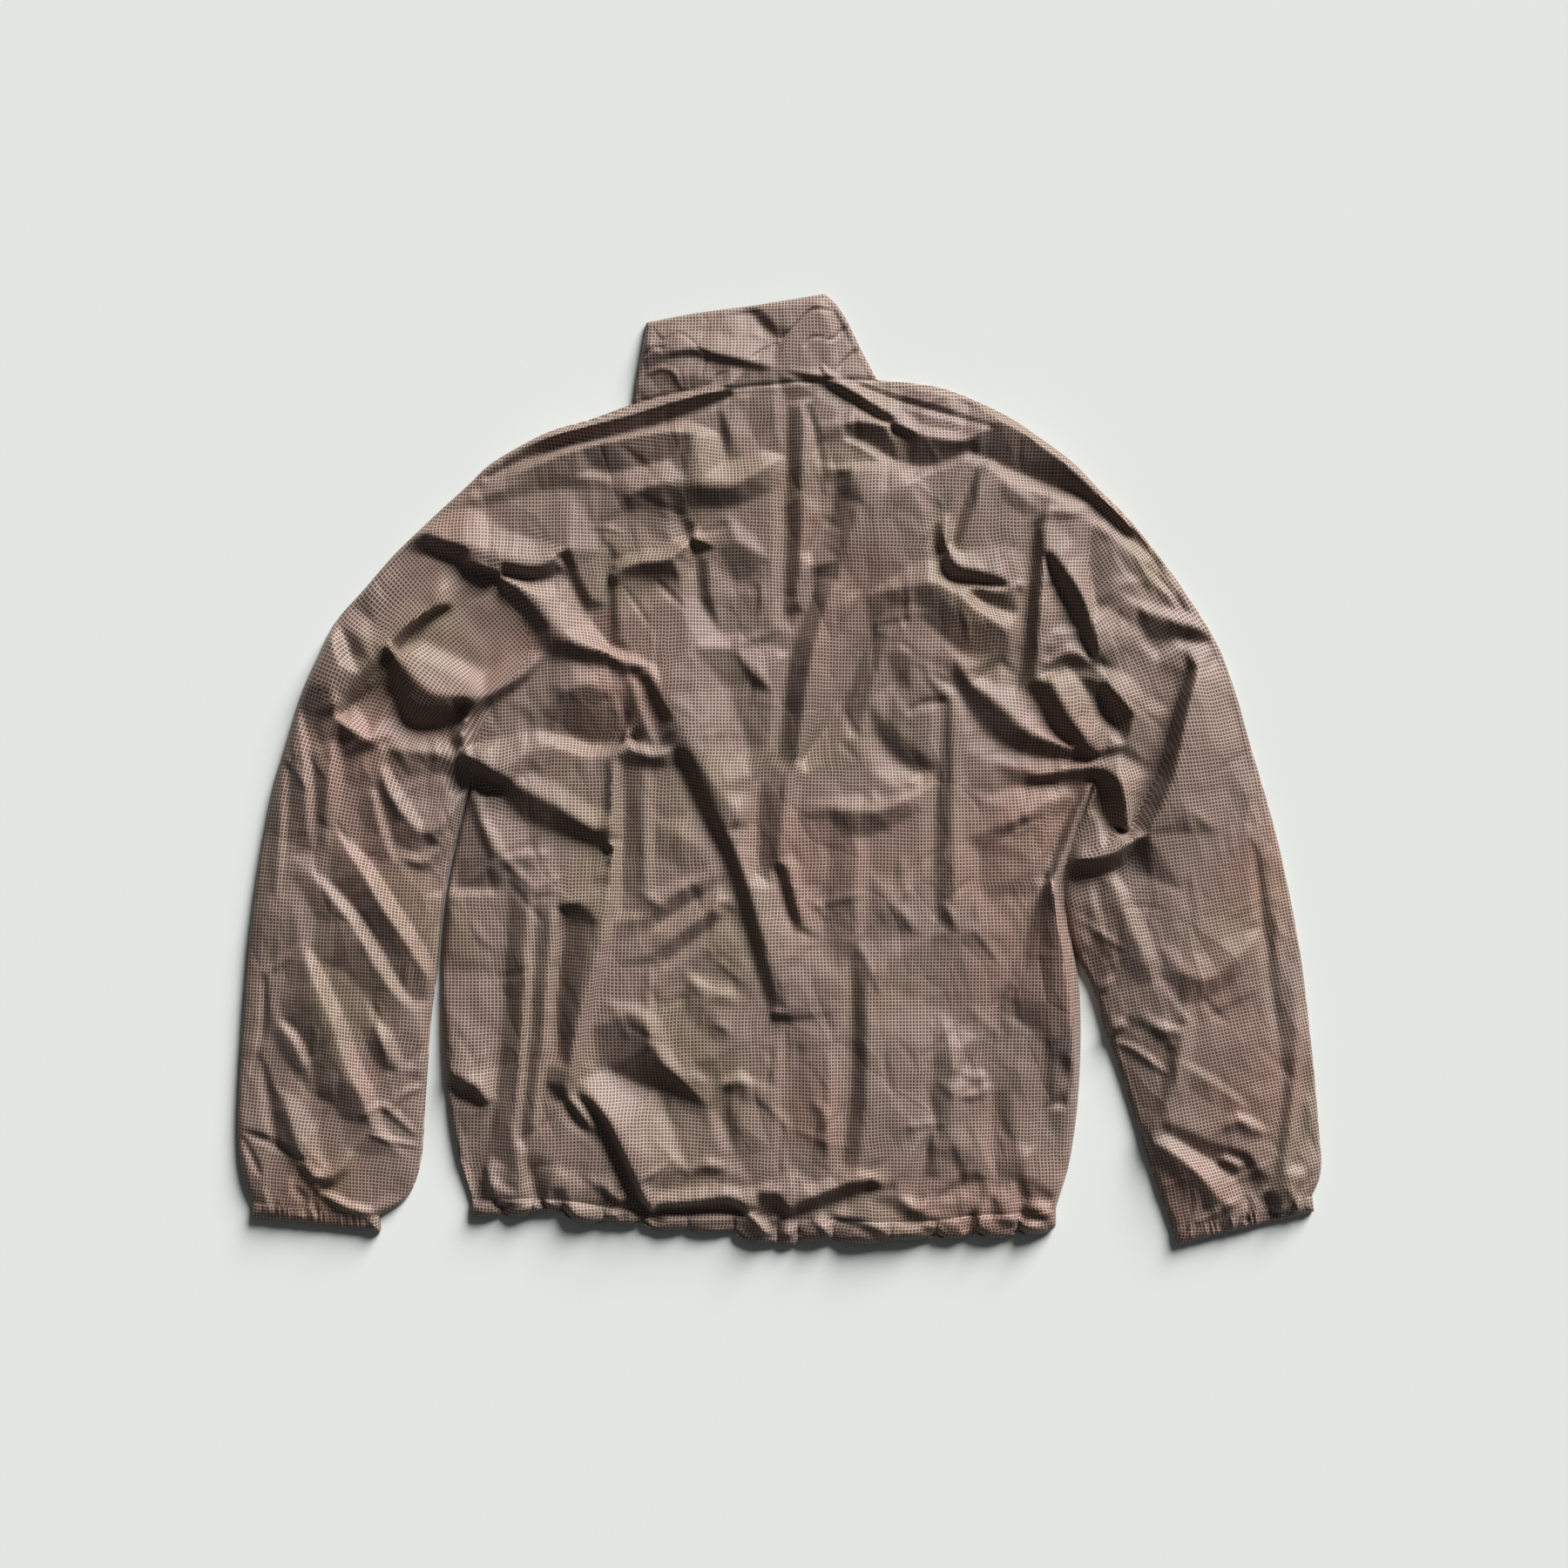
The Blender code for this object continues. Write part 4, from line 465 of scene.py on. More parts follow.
COLLAR_CREASES = (
    Crease(((857, 350), (873, 372), (893, 390)), -3.5, 34, 10, 0.9, 0.7),
    Crease(((897, 391), (915, 375), (932, 358), (952, 358)), -2.2, 4, 4, 0.8, 0.6),
    Crease(((863, 414), (875, 406), (891, 397)), -1.6, 4, 4, 0.4, 0.6),
    Crease(((762, 410), (780, 405), (802, 404), (830, 411), (860, 418), (888, 425)), 3.8, 8, 24, 0.3, 0.3),
    Crease(((924, 399), (932, 390), (945, 389)), -1.4, 4, 4, 0.5, 0.5),
    Crease(((950, 393), (958, 390), (964, 383), (973, 377)), -2, 4, 4, 0.5, 0.9),
    Crease(((963, 424), (974, 412), (985, 404), (992, 409)), -2.5, 5, 5, 0.5, 0.8),
    Crease(((750, 378), (762, 392), (780, 384), (800, 398)), -1, 4, 3, 0.5, 0.5),
    Crease(((801, 403), (812, 411), (808, 425), (805, 436)), -1.2, 4, 4, 0.6, 0.4),
    Crease(((812, 447), (820, 440), (824, 434), (834, 430)), -1.4, 4, 4, 0.7, 0.5),
    Crease(((742, 409), (750, 402), (762, 401)), -1.6, 5, 4, 0.7, 0.4),
    Crease(((746, 430), (760, 425), (775, 431), (781, 445)), 1.6, 6, 6, 0.5, 0.7),
    Crease(((944, 424), (950, 432), (962, 438)), 2, 5, 6, 0.6, 0.8),
)

HEM_CREASES = (
    Crease(((570, 1376), (578, 1388), (588, 1402)), -3.2, 9, 7, 0.5, 0.8),
    Crease(((586, 1396), (606, 1388), (622, 1374)), 2.9, 10, 8, 0.5, 0.6),
    Crease(((620, 1372), (628, 1383), (636, 1394)), -4, 12, 7, 0.8, 0.8),
    Crease(((650, 1340), (652, 1362), (656, 1384)), 3, 14, 18, 0.2, 0.8),
    Crease(((684, 1356), (698, 1364), (713, 1378)), 3.4, 9, 14, 0.4, 0.8),
    Crease(((700, 1384), (712, 1378), (716, 1400)), -3.2, 9, 10, 0.5, 0.8),
    Crease(((690, 1398), (702, 1392), (722, 1390)), 2.6, 8, 6, 0.5, 0.5),
    Crease(((742, 1384), (748, 1394), (752, 1408)), -4, 9, 12, 0.8, 0.8),
    Crease(((850, 1380), (864, 1392), (880, 1412)), 3.6, 8, 18, 0.5, 0.8),
    Crease(((862, 1384), (878, 1396), (890, 1416)), -3.4, 12, 8, 0.6, 0.8),
    Crease(((901, 1392), (896, 1404), (888, 1420)), -4, 12, 8, 0.6, 0.9),
    Crease(((930, 1402), (920, 1412), (914, 1420)), -3, 8, 8, 0.5, 0.8),
    Crease(((936, 1398), (944, 1406), (952, 1416)), 3.2, 7, 12, 0.5, 0.8),
    Crease(((960, 1392), (985, 1397), (1006, 1406), (1026, 1420)), 3.8, 9, 26, 0.4, 0.8),
    Crease(((1060, 1404), (1072, 1408), (1082, 1414)), 2.6, 8, 8, 0.4, 0.6),
    Crease(((1118, 1390), (1114, 1402), (1110, 1416)), -3.4, 12, 9, 0.4, 0.9),
    Crease(((1128, 1378), (1122, 1394), (1120, 1412)), 3.6, 8, 16, 0.4, 0.9),
    Crease(((1144, 1366), (1154, 1386), (1172, 1404)), 3.6, 14, 14, 0.4, 0.8),
    Crease(((1166, 1352), (1172, 1376), (1174, 1396)), -3.6, 10, 16, 0.3, 0.9),
    Crease(((1174, 1386), (1170, 1400), (1168, 1412)), -3, 8, 10, 0.8, 0.8),
    Crease(((1182, 1384), (1196, 1388), (1212, 1387)), 5, 12, 12, 0.6, 0.7),
    Crease(((1022, 1362), (1050, 1384), (1080, 1398)), 3, 16, 20, 0.3, 0.5),
    Crease(((1068, 1374), (1100, 1360), (1134, 1352)), -3, 16, 16, 0.3, 0.4),
    Crease(((560, 1340), (566, 1360), (572, 1378)), 3, 12, 14, 0.2, 0.8),
    Crease(((595, 1300), (600, 1340), (596, 1378)), 3, 16, 10, 0.2, 0.6),
    Crease(((792, 1342), (812, 1334), (836, 1340)), 3, 12, 10, 0.4, 0.4),
    Crease(((905, 1345), (912, 1366), (906, 1388)), 3.4, 16, 20, 0.3, 0.8),
)
CUFF_CREASES = (
    Crease(((342, 1362), (352, 1376), (350, 1388)), -2.6, 8, 8, 0.5, 0.8),
    Crease(((366, 1366), (362, 1376), (366, 1390)), -2.4, 6, 6, 0.5, 0.8),
    Crease(((336, 1350), (334, 1368), (328, 1386)), 2.4, 10, 10, 0.2, 0.8),
    Crease(((305, 1362), (308, 1374), (312, 1388)), 2, 8, 8, 0.2, 0.8),
    Crease(((1448, 1366), (1452, 1380), (1458, 1392)), -3.2, 10, 9, 0.4, 0.9),
    Crease(((1428, 1372), (1432, 1386), (1430, 1398)), -2.4, 8, 8, 0.3, 0.8),
    Crease(((1398, 1376), (1402, 1392), (1398, 1406)), -2.2, 10, 10, 0.2, 0.8),
    Crease(((1478, 1362), (1484, 1376), (1490, 1390)), 2.6, 8, 8, 0.4, 0.8),
)

CREASES = (
    UPPER_LEFT_CREASES + UPPER_RIGHT_CREASES + LEFT_SLEEVE_CREASES + LOWER_LEFT_CREASES
    + LOWER_RIGHT_CREASES + RIGHT_SLEEVE_CREASES + COLLAR_CREASES + HEM_CREASES + CUFF_CREASES
)
print(len(CREASES), "creases")


# %% [markdown]
# ## Height of the upper layer
#
# Cloth rolls over at its edges, trapped air lifts it a little in the middle, and the folds
# add to that. A soft floor keeps the upper layer just above the lower one, as the real
# layers rest on each other.

# %% Fold heights
def measure_along(path, points):
    """For each point: signed distance to the left of the path, share of its length, overshoot."""
    steps = np.diff(path, axis=0)
    lengths = np.linalg.norm(steps, axis=1)
    before = np.r_[0, np.cumsum(lengths)]
    nearest = np.full(len(points), np.inf)
    side, share, over = (np.zeros(len(points)) for _ in range(3))
    for index, (start, step, length) in enumerate(zip(path, steps, lengths)):
        offset = points - start
        along = offset @ step / length
        held = np.clip(along, 0, length)
        away = np.linalg.norm(offset - held[:, None] * step / length, axis=1)
        closer = away < nearest
        across = (step[0] * offset[:, 1] - step[1] * offset[:, 0]) / length
        beyond = np.zeros(len(points))
        if index == 0:
            beyond = np.maximum(beyond, -along)
        if index == len(steps) - 1:
            beyond = np.maximum(beyond, along - length)
        nearest = np.where(closer, away, nearest)
        signed = np.where(beyond > 0, across, np.sign(across) * away)
        side = np.where(closer, signed, side)
        share = np.where(closer, (before[index] + held) / before[-1], share)
        over = np.where(closer, beyond, over)
    return side, share, over


LEAST_WIDTH, LEAST_REACH = 0.2, 0.4  # of a fold's width and a crease's flanks, at their ends
FLANK_POWER, SIZE_POWER = 1.5, 0.7  # how sharply cloth turns at a crease, how full a crease stays
END_FADE = 6 * MM


def sizes_along(crease, share):
    """How much of its height a crease or fold has at each share of its length."""
    ends = crease.start + (crease.end - crease.start) * share
    return ends + (1 - ends) * np.sin(pi * share) ** SIZE_POWER


def fold_height(points, folds):
    """Sum of the folds at the points."""
    height = np.zeros(len(points))
    for fold in folds:
        path = to_frame(spline(fold.path, 4))
        half, low, high = fold.width * MM / 2, fold.low * MM, fold.high * MM
        reach = half + max(low, high)
        near = np.all((points > path.min(0) - reach) & (points < path.max(0) + reach), axis=1)
        if not near.any():
            continue
        side, share, over = measure_along(path, points[near])
        size = sizes_along(fold, share)
        sunk = low / (low + high)
        half = half * np.maximum(size, LEAST_WIDTH)
        flank = 0.5 + 0.5 * size
        face = np.clip(side / (2 * half) + 0.5, 0, 1) - sunk
        above = np.clip(1 - (side - half) / (high * flank), 0, 1) ** FLANK_POWER
        below = np.clip(1 - (-side - half) / (low * flank), 0, 1) ** FLANK_POWER
        shape = np.where(side > half, (1 - sunk) * above, np.where(side < -half, -sunk * below, face))
        fade = np.clip(1 - over / (half + END_FADE), 0, 1) ** 2
        height[near] += fold.rise * MM * shape * size * fade
    return height


def ridge_height(points, creases):
    """Sum of small ridges and valleys, each a pair of flat flanks."""
    height = np.zeros(len(points))
    for crease in creases:
        path = to_frame(spline(crease.path, 4))
        right, left = crease.right * SQUARE, crease.left * SQUARE
        reach = max(right, left)
        near = np.all((points > path.min(0) - reach) & (points < path.max(0) + reach), axis=1)
        if not near.any():
            continue
        side, share, over = measure_along(path, points[near])
        size = sizes_along(crease, share)
        away = np.hypot(np.where(side > 0, side / left, -side / right), over / (right + left) * 2)
        drawn = LEAST_REACH + (1 - LEAST_REACH) * size
        height[near] += crease.height * MM * size * np.clip(1 - away / drawn, 0, 1)
    return height


# %% [markdown]
# ## Facets
#
# Crisp nylon doesn't curve between two creases, it spans them like a taut sheet. So the
# large creases become a net: points along each ridge and valley at their heights, points
# at the foot of each flank, and a loose scatter of nearly level points in the calm parts.
# Joining all of them into triangles gives the flat faces. A little rounding turns each
# sharp edge into a bend that real cloth could make.

# %% Facets between the creases
GAIN = 1.6
NET_STEP = 10  # squares between the points taken along a crease
SMALL_HEIGHT, SMALL_REACH = 3.0, 9  # creases under these ride on the facets
FOOT_EVERY, OWN_ROOM, OTHER_ROOM, FOOT_ROOM, FOOT_GAP, FOOT_FAR = 2, 0.8, 1.15, 9, 5, 36
LEVEL_ACROSS, LEVEL_DOWN, LEVEL_JITTER, LEVEL_ROOM, LEVEL_GAP, LEVEL_ROUGH = 24, 58, 13, 15, 14, 6
FACE_REACH = 66  # no level points lie this near two creases that face each other
ARM_CALM, ARM_FROM, BODY_SPAN = 0.35, 850, (510, 1240)  # the arms lie calmer below the armholes
GRID_STEP, CREASE_ROUND = 1.2 * MM, 1.5 * MM
GRID_HALF = (0.462, 0.408)
LEVEL_SPAN = (250, 1550), (330, 1440)  # squares that the level points cover
NET_CORNERS = [[200, 280], [1600, 280], [1600, 1480], [200, 1480]]
LEVEL_SEED, SCATTER_SEED, SCATTERED = 7, 11, 420
SCATTER_FROM, SCATTER_TO = (270, 440), (1520, 1390)
SCATTER_TURN, SCATTER_HALF, SCATTER_BEND = (90, 38), (8, 34), (-3, 3)  # degrees; squares
SCATTER_RISE, SCATTER_FLANK, SCATTER_ENDS = (0.5, 1.6), (4, 10), (0.1, 0.6)  # mm, squares, shares


def along_crease(crease):
    """Points along a crease, their share of its height, and steps to its left."""
    path = spline(crease.path)
    run = np.r_[0, np.cumsum(np.linalg.norm(np.diff(path, axis=0), axis=1))]
    at = np.linspace(0, run[-1], max(2, round(run[-1] / NET_STEP)) + 1)
    points = np.stack([np.interp(at, run, path[:, axis]) for axis in (0, 1)], 1)
    ahead = np.gradient(points, axis=0)
    ahead /= np.linalg.norm(ahead, axis=1)[:, None]
    return points, sizes_along(crease, at / run[-1]), np.stack([ahead[:, 1], -ahead[:, 0]], 1)


def nearest_to(point, others):
    return np.linalg.norm(np.asarray(others) - point, axis=1).min() if len(others) else np.inf


def facet_net(creases):
    """Points of the net, their heights in mm, and the edges that its triangles must keep."""
    lines = [along_crease(crease) for crease in creases]
    points, heights, edges, feet = [], [], [], []
    for crease, (line, size, _) in zip(creases, lines):
        first = len(points)
        points += line.tolist()
        heights += (crease.height * size * GAIN).tolist()
        edges += [(first + k, first + k + 1) for k in range(len(line) - 1)]
    for crease, (line, size, left) in zip(creases, lines):
        others = np.vstack([other[0] for other in lines if other[0] is not line])
        placed = []
        for step, width in ((left, crease.left), (-left, crease.right)):
            if not width:
                continue
            last = None
            for k in range(0, len(line), FOOT_EVERY):
                away = width * (LEAST_REACH + (1 - LEAST_REACH) * size[k])
                foot = line[k] + step[k] * away
                free = away < FOOT_FAR and nearest_to(foot, line) > OWN_ROOM * away
                free = free and nearest_to(foot, others) > OTHER_ROOM * away
                if not free or nearest_to(foot, feet) < FOOT_ROOM or nearest_to(foot, placed) < FOOT_GAP:
                    last = None
                    continue
                if last is not None:
                    edges.append((last, len(points)))
                last = len(points)
                points.append(foot.tolist())
                heights.append(0.0)
                placed.append(foot)
        feet += placed
    rng = np.random.default_rng(LEVEL_SEED)
    middles, lefts = (np.vstack([line[k] for line in lines]) for k in (0, 2))
    reach = [[[crease.right, crease.left]] * len(line[0]) for crease, line in zip(creases, lines)]
    bare = np.vstack(reach) == 0
    reach = np.maximum(np.vstack(reach), LEVEL_ROOM)
    for x in range(*LEVEL_SPAN[0], LEVEL_ACROSS):
        for y in range(*LEVEL_SPAN[1], LEVEL_DOWN):
            spot = np.array([x, y]) + rng.uniform(-LEVEL_JITTER, LEVEL_JITTER, 2)
            rise = rng.uniform(-LEVEL_ROUGH, LEVEL_ROUGH)
            if y > ARM_FROM and not BODY_SPAN[0] < x < BODY_SPAN[1]:
                rise *= ARM_CALM
            on_left = ((spot - middles) * lefts).sum(1) > 0
            away = np.linalg.norm(spot - middles, axis=1)
            clear = away - np.where(on_left, reach[:, 1], reach[:, 0])
            close = away < FACE_REACH
            between = (close & ~on_left & bare[:, 0]).any() and (close & on_left & bare[:, 1]).any()
            if clear.min() > 0 and not between and nearest_to(spot, feet) > LEVEL_GAP:
                points.append(spot.tolist())
                heights.append(rise)
    points += NET_CORNERS
    return np.array(points), np.array(heights + [0.0] * 4), edges


def net_triangles(points, heights, edges):
    """The net's triangles, with heights for the points made where edges cross."""
    made = delaunay_2d_cdt([Vector(point) for point in points], edges, [], 0, 1e-3)
    spots, sources = np.array([tuple(spot) for spot in made[0]]), made[3]
    rises = np.zeros(len(spots))
    first, last = (points[[edge[end] for edge in edges]] for end in (0, 1))
    start, stop = (heights[[edge[end] for edge in edges]] for end in (0, 1))
    step = last - first
    for k, source in enumerate(sources):
        if source:
            rises[k] = max(heights[source], key=abs)
            continue
        share = np.clip(((spots[k] - first) * step).sum(1) / (step**2).sum(1), 0, 1)
        off = np.linalg.norm(first + share[:, None] * step - spots[k], axis=1)
        rises[k] = (start + (stop - start) * share)[off < 0.05].mean()
    return spots, rises, [face for face in made[2] if len(face) == 3]


def height_grid(spots, rises, triangles):
    """Heights in metres on an even grid over the lay, with its edges rounded."""
    xs, ys = (np.arange(-half, half, GRID_STEP) for half in GRID_HALF)
    grid, spots = np.zeros((len(ys), len(xs))), to_frame(spots)
    for triangle in triangles:
        a, b, c = spots[triangle]
        low, high = np.minimum(np.minimum(a, b), c), np.maximum(np.maximum(a, b), c)
        span_x = slice(*np.searchsorted(xs, (low[0], high[0])))
        span_y = slice(*np.searchsorted(ys, (low[1], high[1])))
        x, y = np.meshgrid(xs[span_x], ys[span_y])
        whole = (b[1] - c[1]) * (a[0] - c[0]) + (c[0] - b[0]) * (a[1] - c[1])
        if not x.size or abs(whole) < 1e-12:
            continue
        one = ((b[1] - c[1]) * (x - c[0]) + (c[0] - b[0]) * (y - c[1])) / whole
        two = ((c[1] - a[1]) * (x - c[0]) + (a[0] - c[0]) * (y - c[1])) / whole
        inside = (one >= -1e-6) & (two >= -1e-6) & (one + two <= 1 + 1e-6)
        rise = one * rises[triangle[0]] + two * rises[triangle[1]] + (1 - one - two) * rises[triangle[2]]
        grid[span_y, span_x][inside] = rise[inside]
    waves = [np.fft.fftfreq(len(ys)), np.fft.rfftfreq(len(xs))]
    blur = np.exp(-2 * (pi * CREASE_ROUND / GRID_STEP) ** 2 * (waves[0][:, None] ** 2 + waves[1][None] ** 2))
    return xs, ys, np.fft.irfft2(np.fft.rfft2(grid) * blur, s=grid.shape) * MM


def is_small(crease):
    flanks = crease.right, crease.left
    return min(flanks) > 0 and (abs(crease.height) < SMALL_HEIGHT or max(flanks) < SMALL_REACH)


def scattered_creases(count):
    """Small creases at random, most of them down the jacket, as in any folded nylon."""
    rng, creases = np.random.default_rng(SCATTER_SEED), []
    for _ in range(count):
        middle = rng.uniform(SCATTER_FROM, SCATTER_TO)
        turn, half = radians(rng.normal(*SCATTER_TURN)), rng.uniform(*SCATTER_HALF)
        step = half * np.array([cos(turn), sin(turn)])
        bent = middle + rng.uniform(*SCATTER_BEND, 2)
        path = tuple(map(tuple, (middle - step, bent, middle + step)))
        rise = rng.choice((-1, 1)) * rng.uniform(*SCATTER_RISE)
        flanks, ends = rng.uniform(*SCATTER_FLANK, 2), rng.uniform(*SCATTER_ENDS, 2)
        creases.append(Crease(path, rise, *flanks, *ends))
    return creases


SMALL_CREASES = [crease for crease in CREASES if is_small(crease)] + scattered_creases(SCATTERED)
FACETS = height_grid(*net_triangles(*facet_net([crease for crease in CREASES if not is_small(crease)])))


def facet_height(points):
    """Height of the facets at the points."""
    xs, ys, grid = FACETS
    column, row = (points[:, 0] - xs[0]) / GRID_STEP, (points[:, 1] - ys[0]) / GRID_STEP
    left, low = column.astype(int), row.astype(int)
    u, v = column - left, row - low
    bottom = grid[low, left] * (1 - u) + grid[low, left + 1] * u
    top = grid[low + 1, left] * (1 - u) + grid[low + 1, left + 1] * u
    return bottom * (1 - v) + top * v


print("facets from", round(FACETS[2].min(), 4), "to", round(FACETS[2].max(), 4), "m")

# %% Distance from the edges
SEAM_STEPS, PUFF_BELLY = 200, 0.6


def hem_edge(per_puff):
    """The hem band's lower edge in plan squares, `per_puff` steps to each puff."""
    seam = divide(HEM_SEAM, SEAM_STEPS)
    start, last_notch, points = HEM_SEAM[0][0], PUFFS[-1].notch, []
    for puff in PUFFS:
        for step in range(per_puff):
            share = step / per_puff
            x = start + (puff.end - start) * share
            between = last_notch + (puff.notch - last_notch) * share
            hang = between + (puff.hang - between) * sin(pi * share) ** PUFF_BELLY
            points.append((x, np.interp(x, seam[:, 0], seam[:, 1]) + hang))
        start, last_notch = puff.end, puff.notch
    points.append((start, HEM_SEAM[-1][1] + last_notch))
    return np.array(points)


def outline(per_span):
    """The whole lay's edge as one loop."""
    edges = (
        LEFT_SIDE, LEFT_INNER, LEFT_CUFF_END[::-1], LEFT_OUTER[::-1], LEFT_SHOULDER, COLLAR_LEFT,
        COLLAR_TOP, COLLAR_RIGHT[::-1], RIGHT_SHOULDER[::-1], RIGHT_OUTER, RIGHT_CUFF_END,
        RIGHT_INNER[::-1], RIGHT_SIDE[::-1],
    )
    return to_frame(np.vstack([spline(edge, per_span) for edge in edges] + [hem_edge(4)[::-1]]))


def distance_to(loop, points):
    """Distance from each point to a closed line."""
    nearest = np.full(len(points), np.inf)
    for start, step in zip(loop, np.roll(loop, -1, axis=0) - loop):
        offset = points - start
        held = np.clip(offset @ step / max(step @ step, 1e-12), 0, 1)
        nearest = np.minimum(nearest, np.linalg.norm(offset - held[:, None] * step, axis=1))
    return nearest


CLOSE = 22 * MM  # nearer than this the distance is worked out exactly


def edge_distance(points):
    """Distance from each point to the edge of the lay, exact near the edge."""
    distance = distance_to(outline(2), points)
    close = distance < CLOSE
    distance[close] = distance_to(outline(8), points[close])
    return distance


# %% Zip hollow and top surface
WALL = 1.3 * MM
CLOTH = 0.8 * MM  # what shows of a cut edge
LOW_TOP = 2 * WALL + 0.35 * MM  # lowest outer surface of the upper layer
FOLD_RADIUS = 4.0 * MM
LOFT = 9.0 * MM
LOFT_REACH = 26.0 * MM
EDGE_CALM = 6.5 * MM
ZIP_LIFT = 3.6  # mm that the slider and its tab hold the fronts off the surface
LIFT_SPREAD = 30.0
SLIDER_END, SLIDER_FADE = 120, 65  # mm down the zip: the lift ends, and how long it takes to
TAPE_OUTER = 14.0


def zip_offset(points):
    """Distance from the zip's middle line, and how near the slider the point lies, 0 to 1."""
    path = to_frame(spline(ZIP_LINE, 6))
    side, share, over = measure_along(path, points)
    down = share * np.linalg.norm(np.diff(path, axis=0), axis=1).sum() / MM
    near_slider = np.clip((SLIDER_END - down) / SLIDER_FADE, 0, 1)
    return np.hypot(side, over), near_slider**2 * (3 - 2 * near_slider)


def zip_lift(points):
    """How far the lower layer is held off the surface by the slider and its tab."""
    away, near_slider = zip_offset(points)
    spread = np.clip((LIFT_SPREAD * MM - away) / ((LIFT_SPREAD - TAPE_OUTER) * MM), 0, 1)
    return ZIP_LIFT * MM * near_slider * spread**2 * (3 - 2 * spread)


SEAM_DIPS, SEAM_REACH = ((NECK, 1.5 * MM), (HEM_SEAM, 0.5 * MM)), 2.2 * MM


def seam_dip(points):
    """How deep the thread draws the cloth in along the neck and hem seams."""
    dip = np.zeros(len(points))
    for edge, depth in SEAM_DIPS:
        line = to_frame(spline(edge, 4))
        for start, step in zip(line, np.diff(line, axis=0)):
            offset = points - start
            share = np.clip(offset @ step / (step @ step), 0, 1)
            away = np.linalg.norm(offset - share[:, None] * step, axis=1)
            dip = np.maximum(dip, depth * np.exp(-((away / SEAM_REACH) ** 2)))
    return dip


HIGH_TOP, HIGH_SQUASH = 24 * MM, 0.5  # ridges over this height sag under their own weight
ZIP_COVER, ZIP_EASE, ZIP_DEPTH = 24, 8, 1.8  # mm: where the back clears the zip, how gently, how far
SETTLE = 2 * MM  # how softly the upper layer rests on the lower one


def top_height(plan):
    """Outer surface of the upper layer over a grid of plan points."""
    flat = plan.reshape(-1, 2)
    distance = edge_distance(flat)
    inside = np.minimum(distance, FOLD_RADIUS)
    roll = np.sqrt(inside * (2 * FOLD_RADIUS - inside))
    loft = LOFT * (1 - np.exp(-distance / LOFT_REACH))
    calm = np.clip(distance / EDGE_CALM, 0, 1)
    raised = facet_height(flat) + ridge_height(flat, SMALL_CREASES) + fold_height(flat, LARGE_FOLDS)
    free = roll + loft + raised * calm - seam_dip(flat)
    away, near_slider = zip_offset(flat)
    over_zip = np.clip((ZIP_COVER * MM - away) / (ZIP_EASE * MM), 0, 1)
    lowest = LOW_TOP + over_zip * (ZIP_DEPTH + (ZIP_LIFT + ZIP_DEPTH) * near_slider) * MM
    above = free - (lowest - LOW_TOP)
    height = lowest + 0.5 * (above + np.sqrt(above**2 + SETTLE**2) - SETTLE)
    over = np.maximum(height - HIGH_TOP, 0) * HIGH_SQUASH
    return np.maximum(height - over, LOW_TOP).reshape(plan.shape[:-1])


# %% [markdown]
# ## A thin shell from a grid
#
# Every cloth piece is a closed shell: a fine outer skin, an inner skin a fraction of a
# millimetre inside it, and a rim where the cloth was cut. Nobody sees the inner skin
# between the layers, so it keeps only some of the outer one's columns and dips under
# the lowest point between them. That way the two can't cross.

# %% Shell builder
CUT_EDGE_ANGLE = 55  # a sharper turn than this is a cut edge, not a bend


def skin_faces(rows, columns, first, closed):
    """Corner numbers of the quads over a grid whose points start at `first`."""
    row, column = np.mgrid[: rows - 1, : columns if closed else columns - 1]
    after = (column + 1) % columns
    here, there = first + row * columns, first + (row + 1) * columns
    return np.stack([here + column, here + after, there + after, there + column], -1).reshape(-1, 4)


def finish_piece(name, mesh, finish):
    """A smooth piece with its finish, in the scene."""
    mesh.materials.append(finish)
    mesh.shade_smooth()
    mesh.set_sharp_from_angle(angle=radians(CUT_EDGE_ANGLE))
    piece = bpy.data.objects.new(name, mesh)
    bpy.context.scene.collection.objects.link(piece)
    return piece


def shell(name, outer, inner, keep, cloth_map, finish, closed=False):
    """A closed shell. `keep` lists the outer columns that the inner skin has too."""
    rows, columns = outer.shape[:2]
    kept, first = len(keep), outer.shape[0] * outer.shape[1]
    outside = skin_faces(rows, columns, 0, closed)
    inside = skin_faces(rows, kept, first, closed)[:, ::-1]
    rims = []
    spans = list(zip(keep, keep[1:])) + ([(keep[-1], keep[0] + columns)] if closed else [])
    for end, turn in ((0, 1), (rows - 1, -1)):
        for place, (left, right) in enumerate(spans):
            edge = [end * columns + step % columns for step in range(left, right + 1)]
            back_edge = [first + end * kept + (place + 1) % kept, first + end * kept + place]
            rims.append((edge + back_edge)[::-turn])
    if not closed:
        for column, other, turn in ((0, 0, 1), (columns - 1, kept - 1, -1)):
            for row in range(rows - 1):
                here, there = row * columns + column, (row + 1) * columns + column
                back_edge = [first + (row + 1) * kept + other, first + row * kept + other]
                rims.append([here, there, *back_edge][::turn])
    faces = outside.tolist() + inside.tolist() + rims
    mesh = bpy.data.meshes.new(name)
    mesh.from_pydata(np.vstack([outer.reshape(-1, 3), inner.reshape(-1, 3)]).tolist(), [], faces)
    spots = np.vstack([cloth_map.reshape(-1, 2), cloth_map[:, keep].reshape(-1, 2)])
    corners = np.concatenate([outside.ravel(), inside.ravel(), np.concatenate(rims)])
    mesh.uv_layers.new(name="cloth").data.foreach_set("uv", spots[corners].astype(np.float32).ravel())
    return finish_piece(name, mesh, finish)


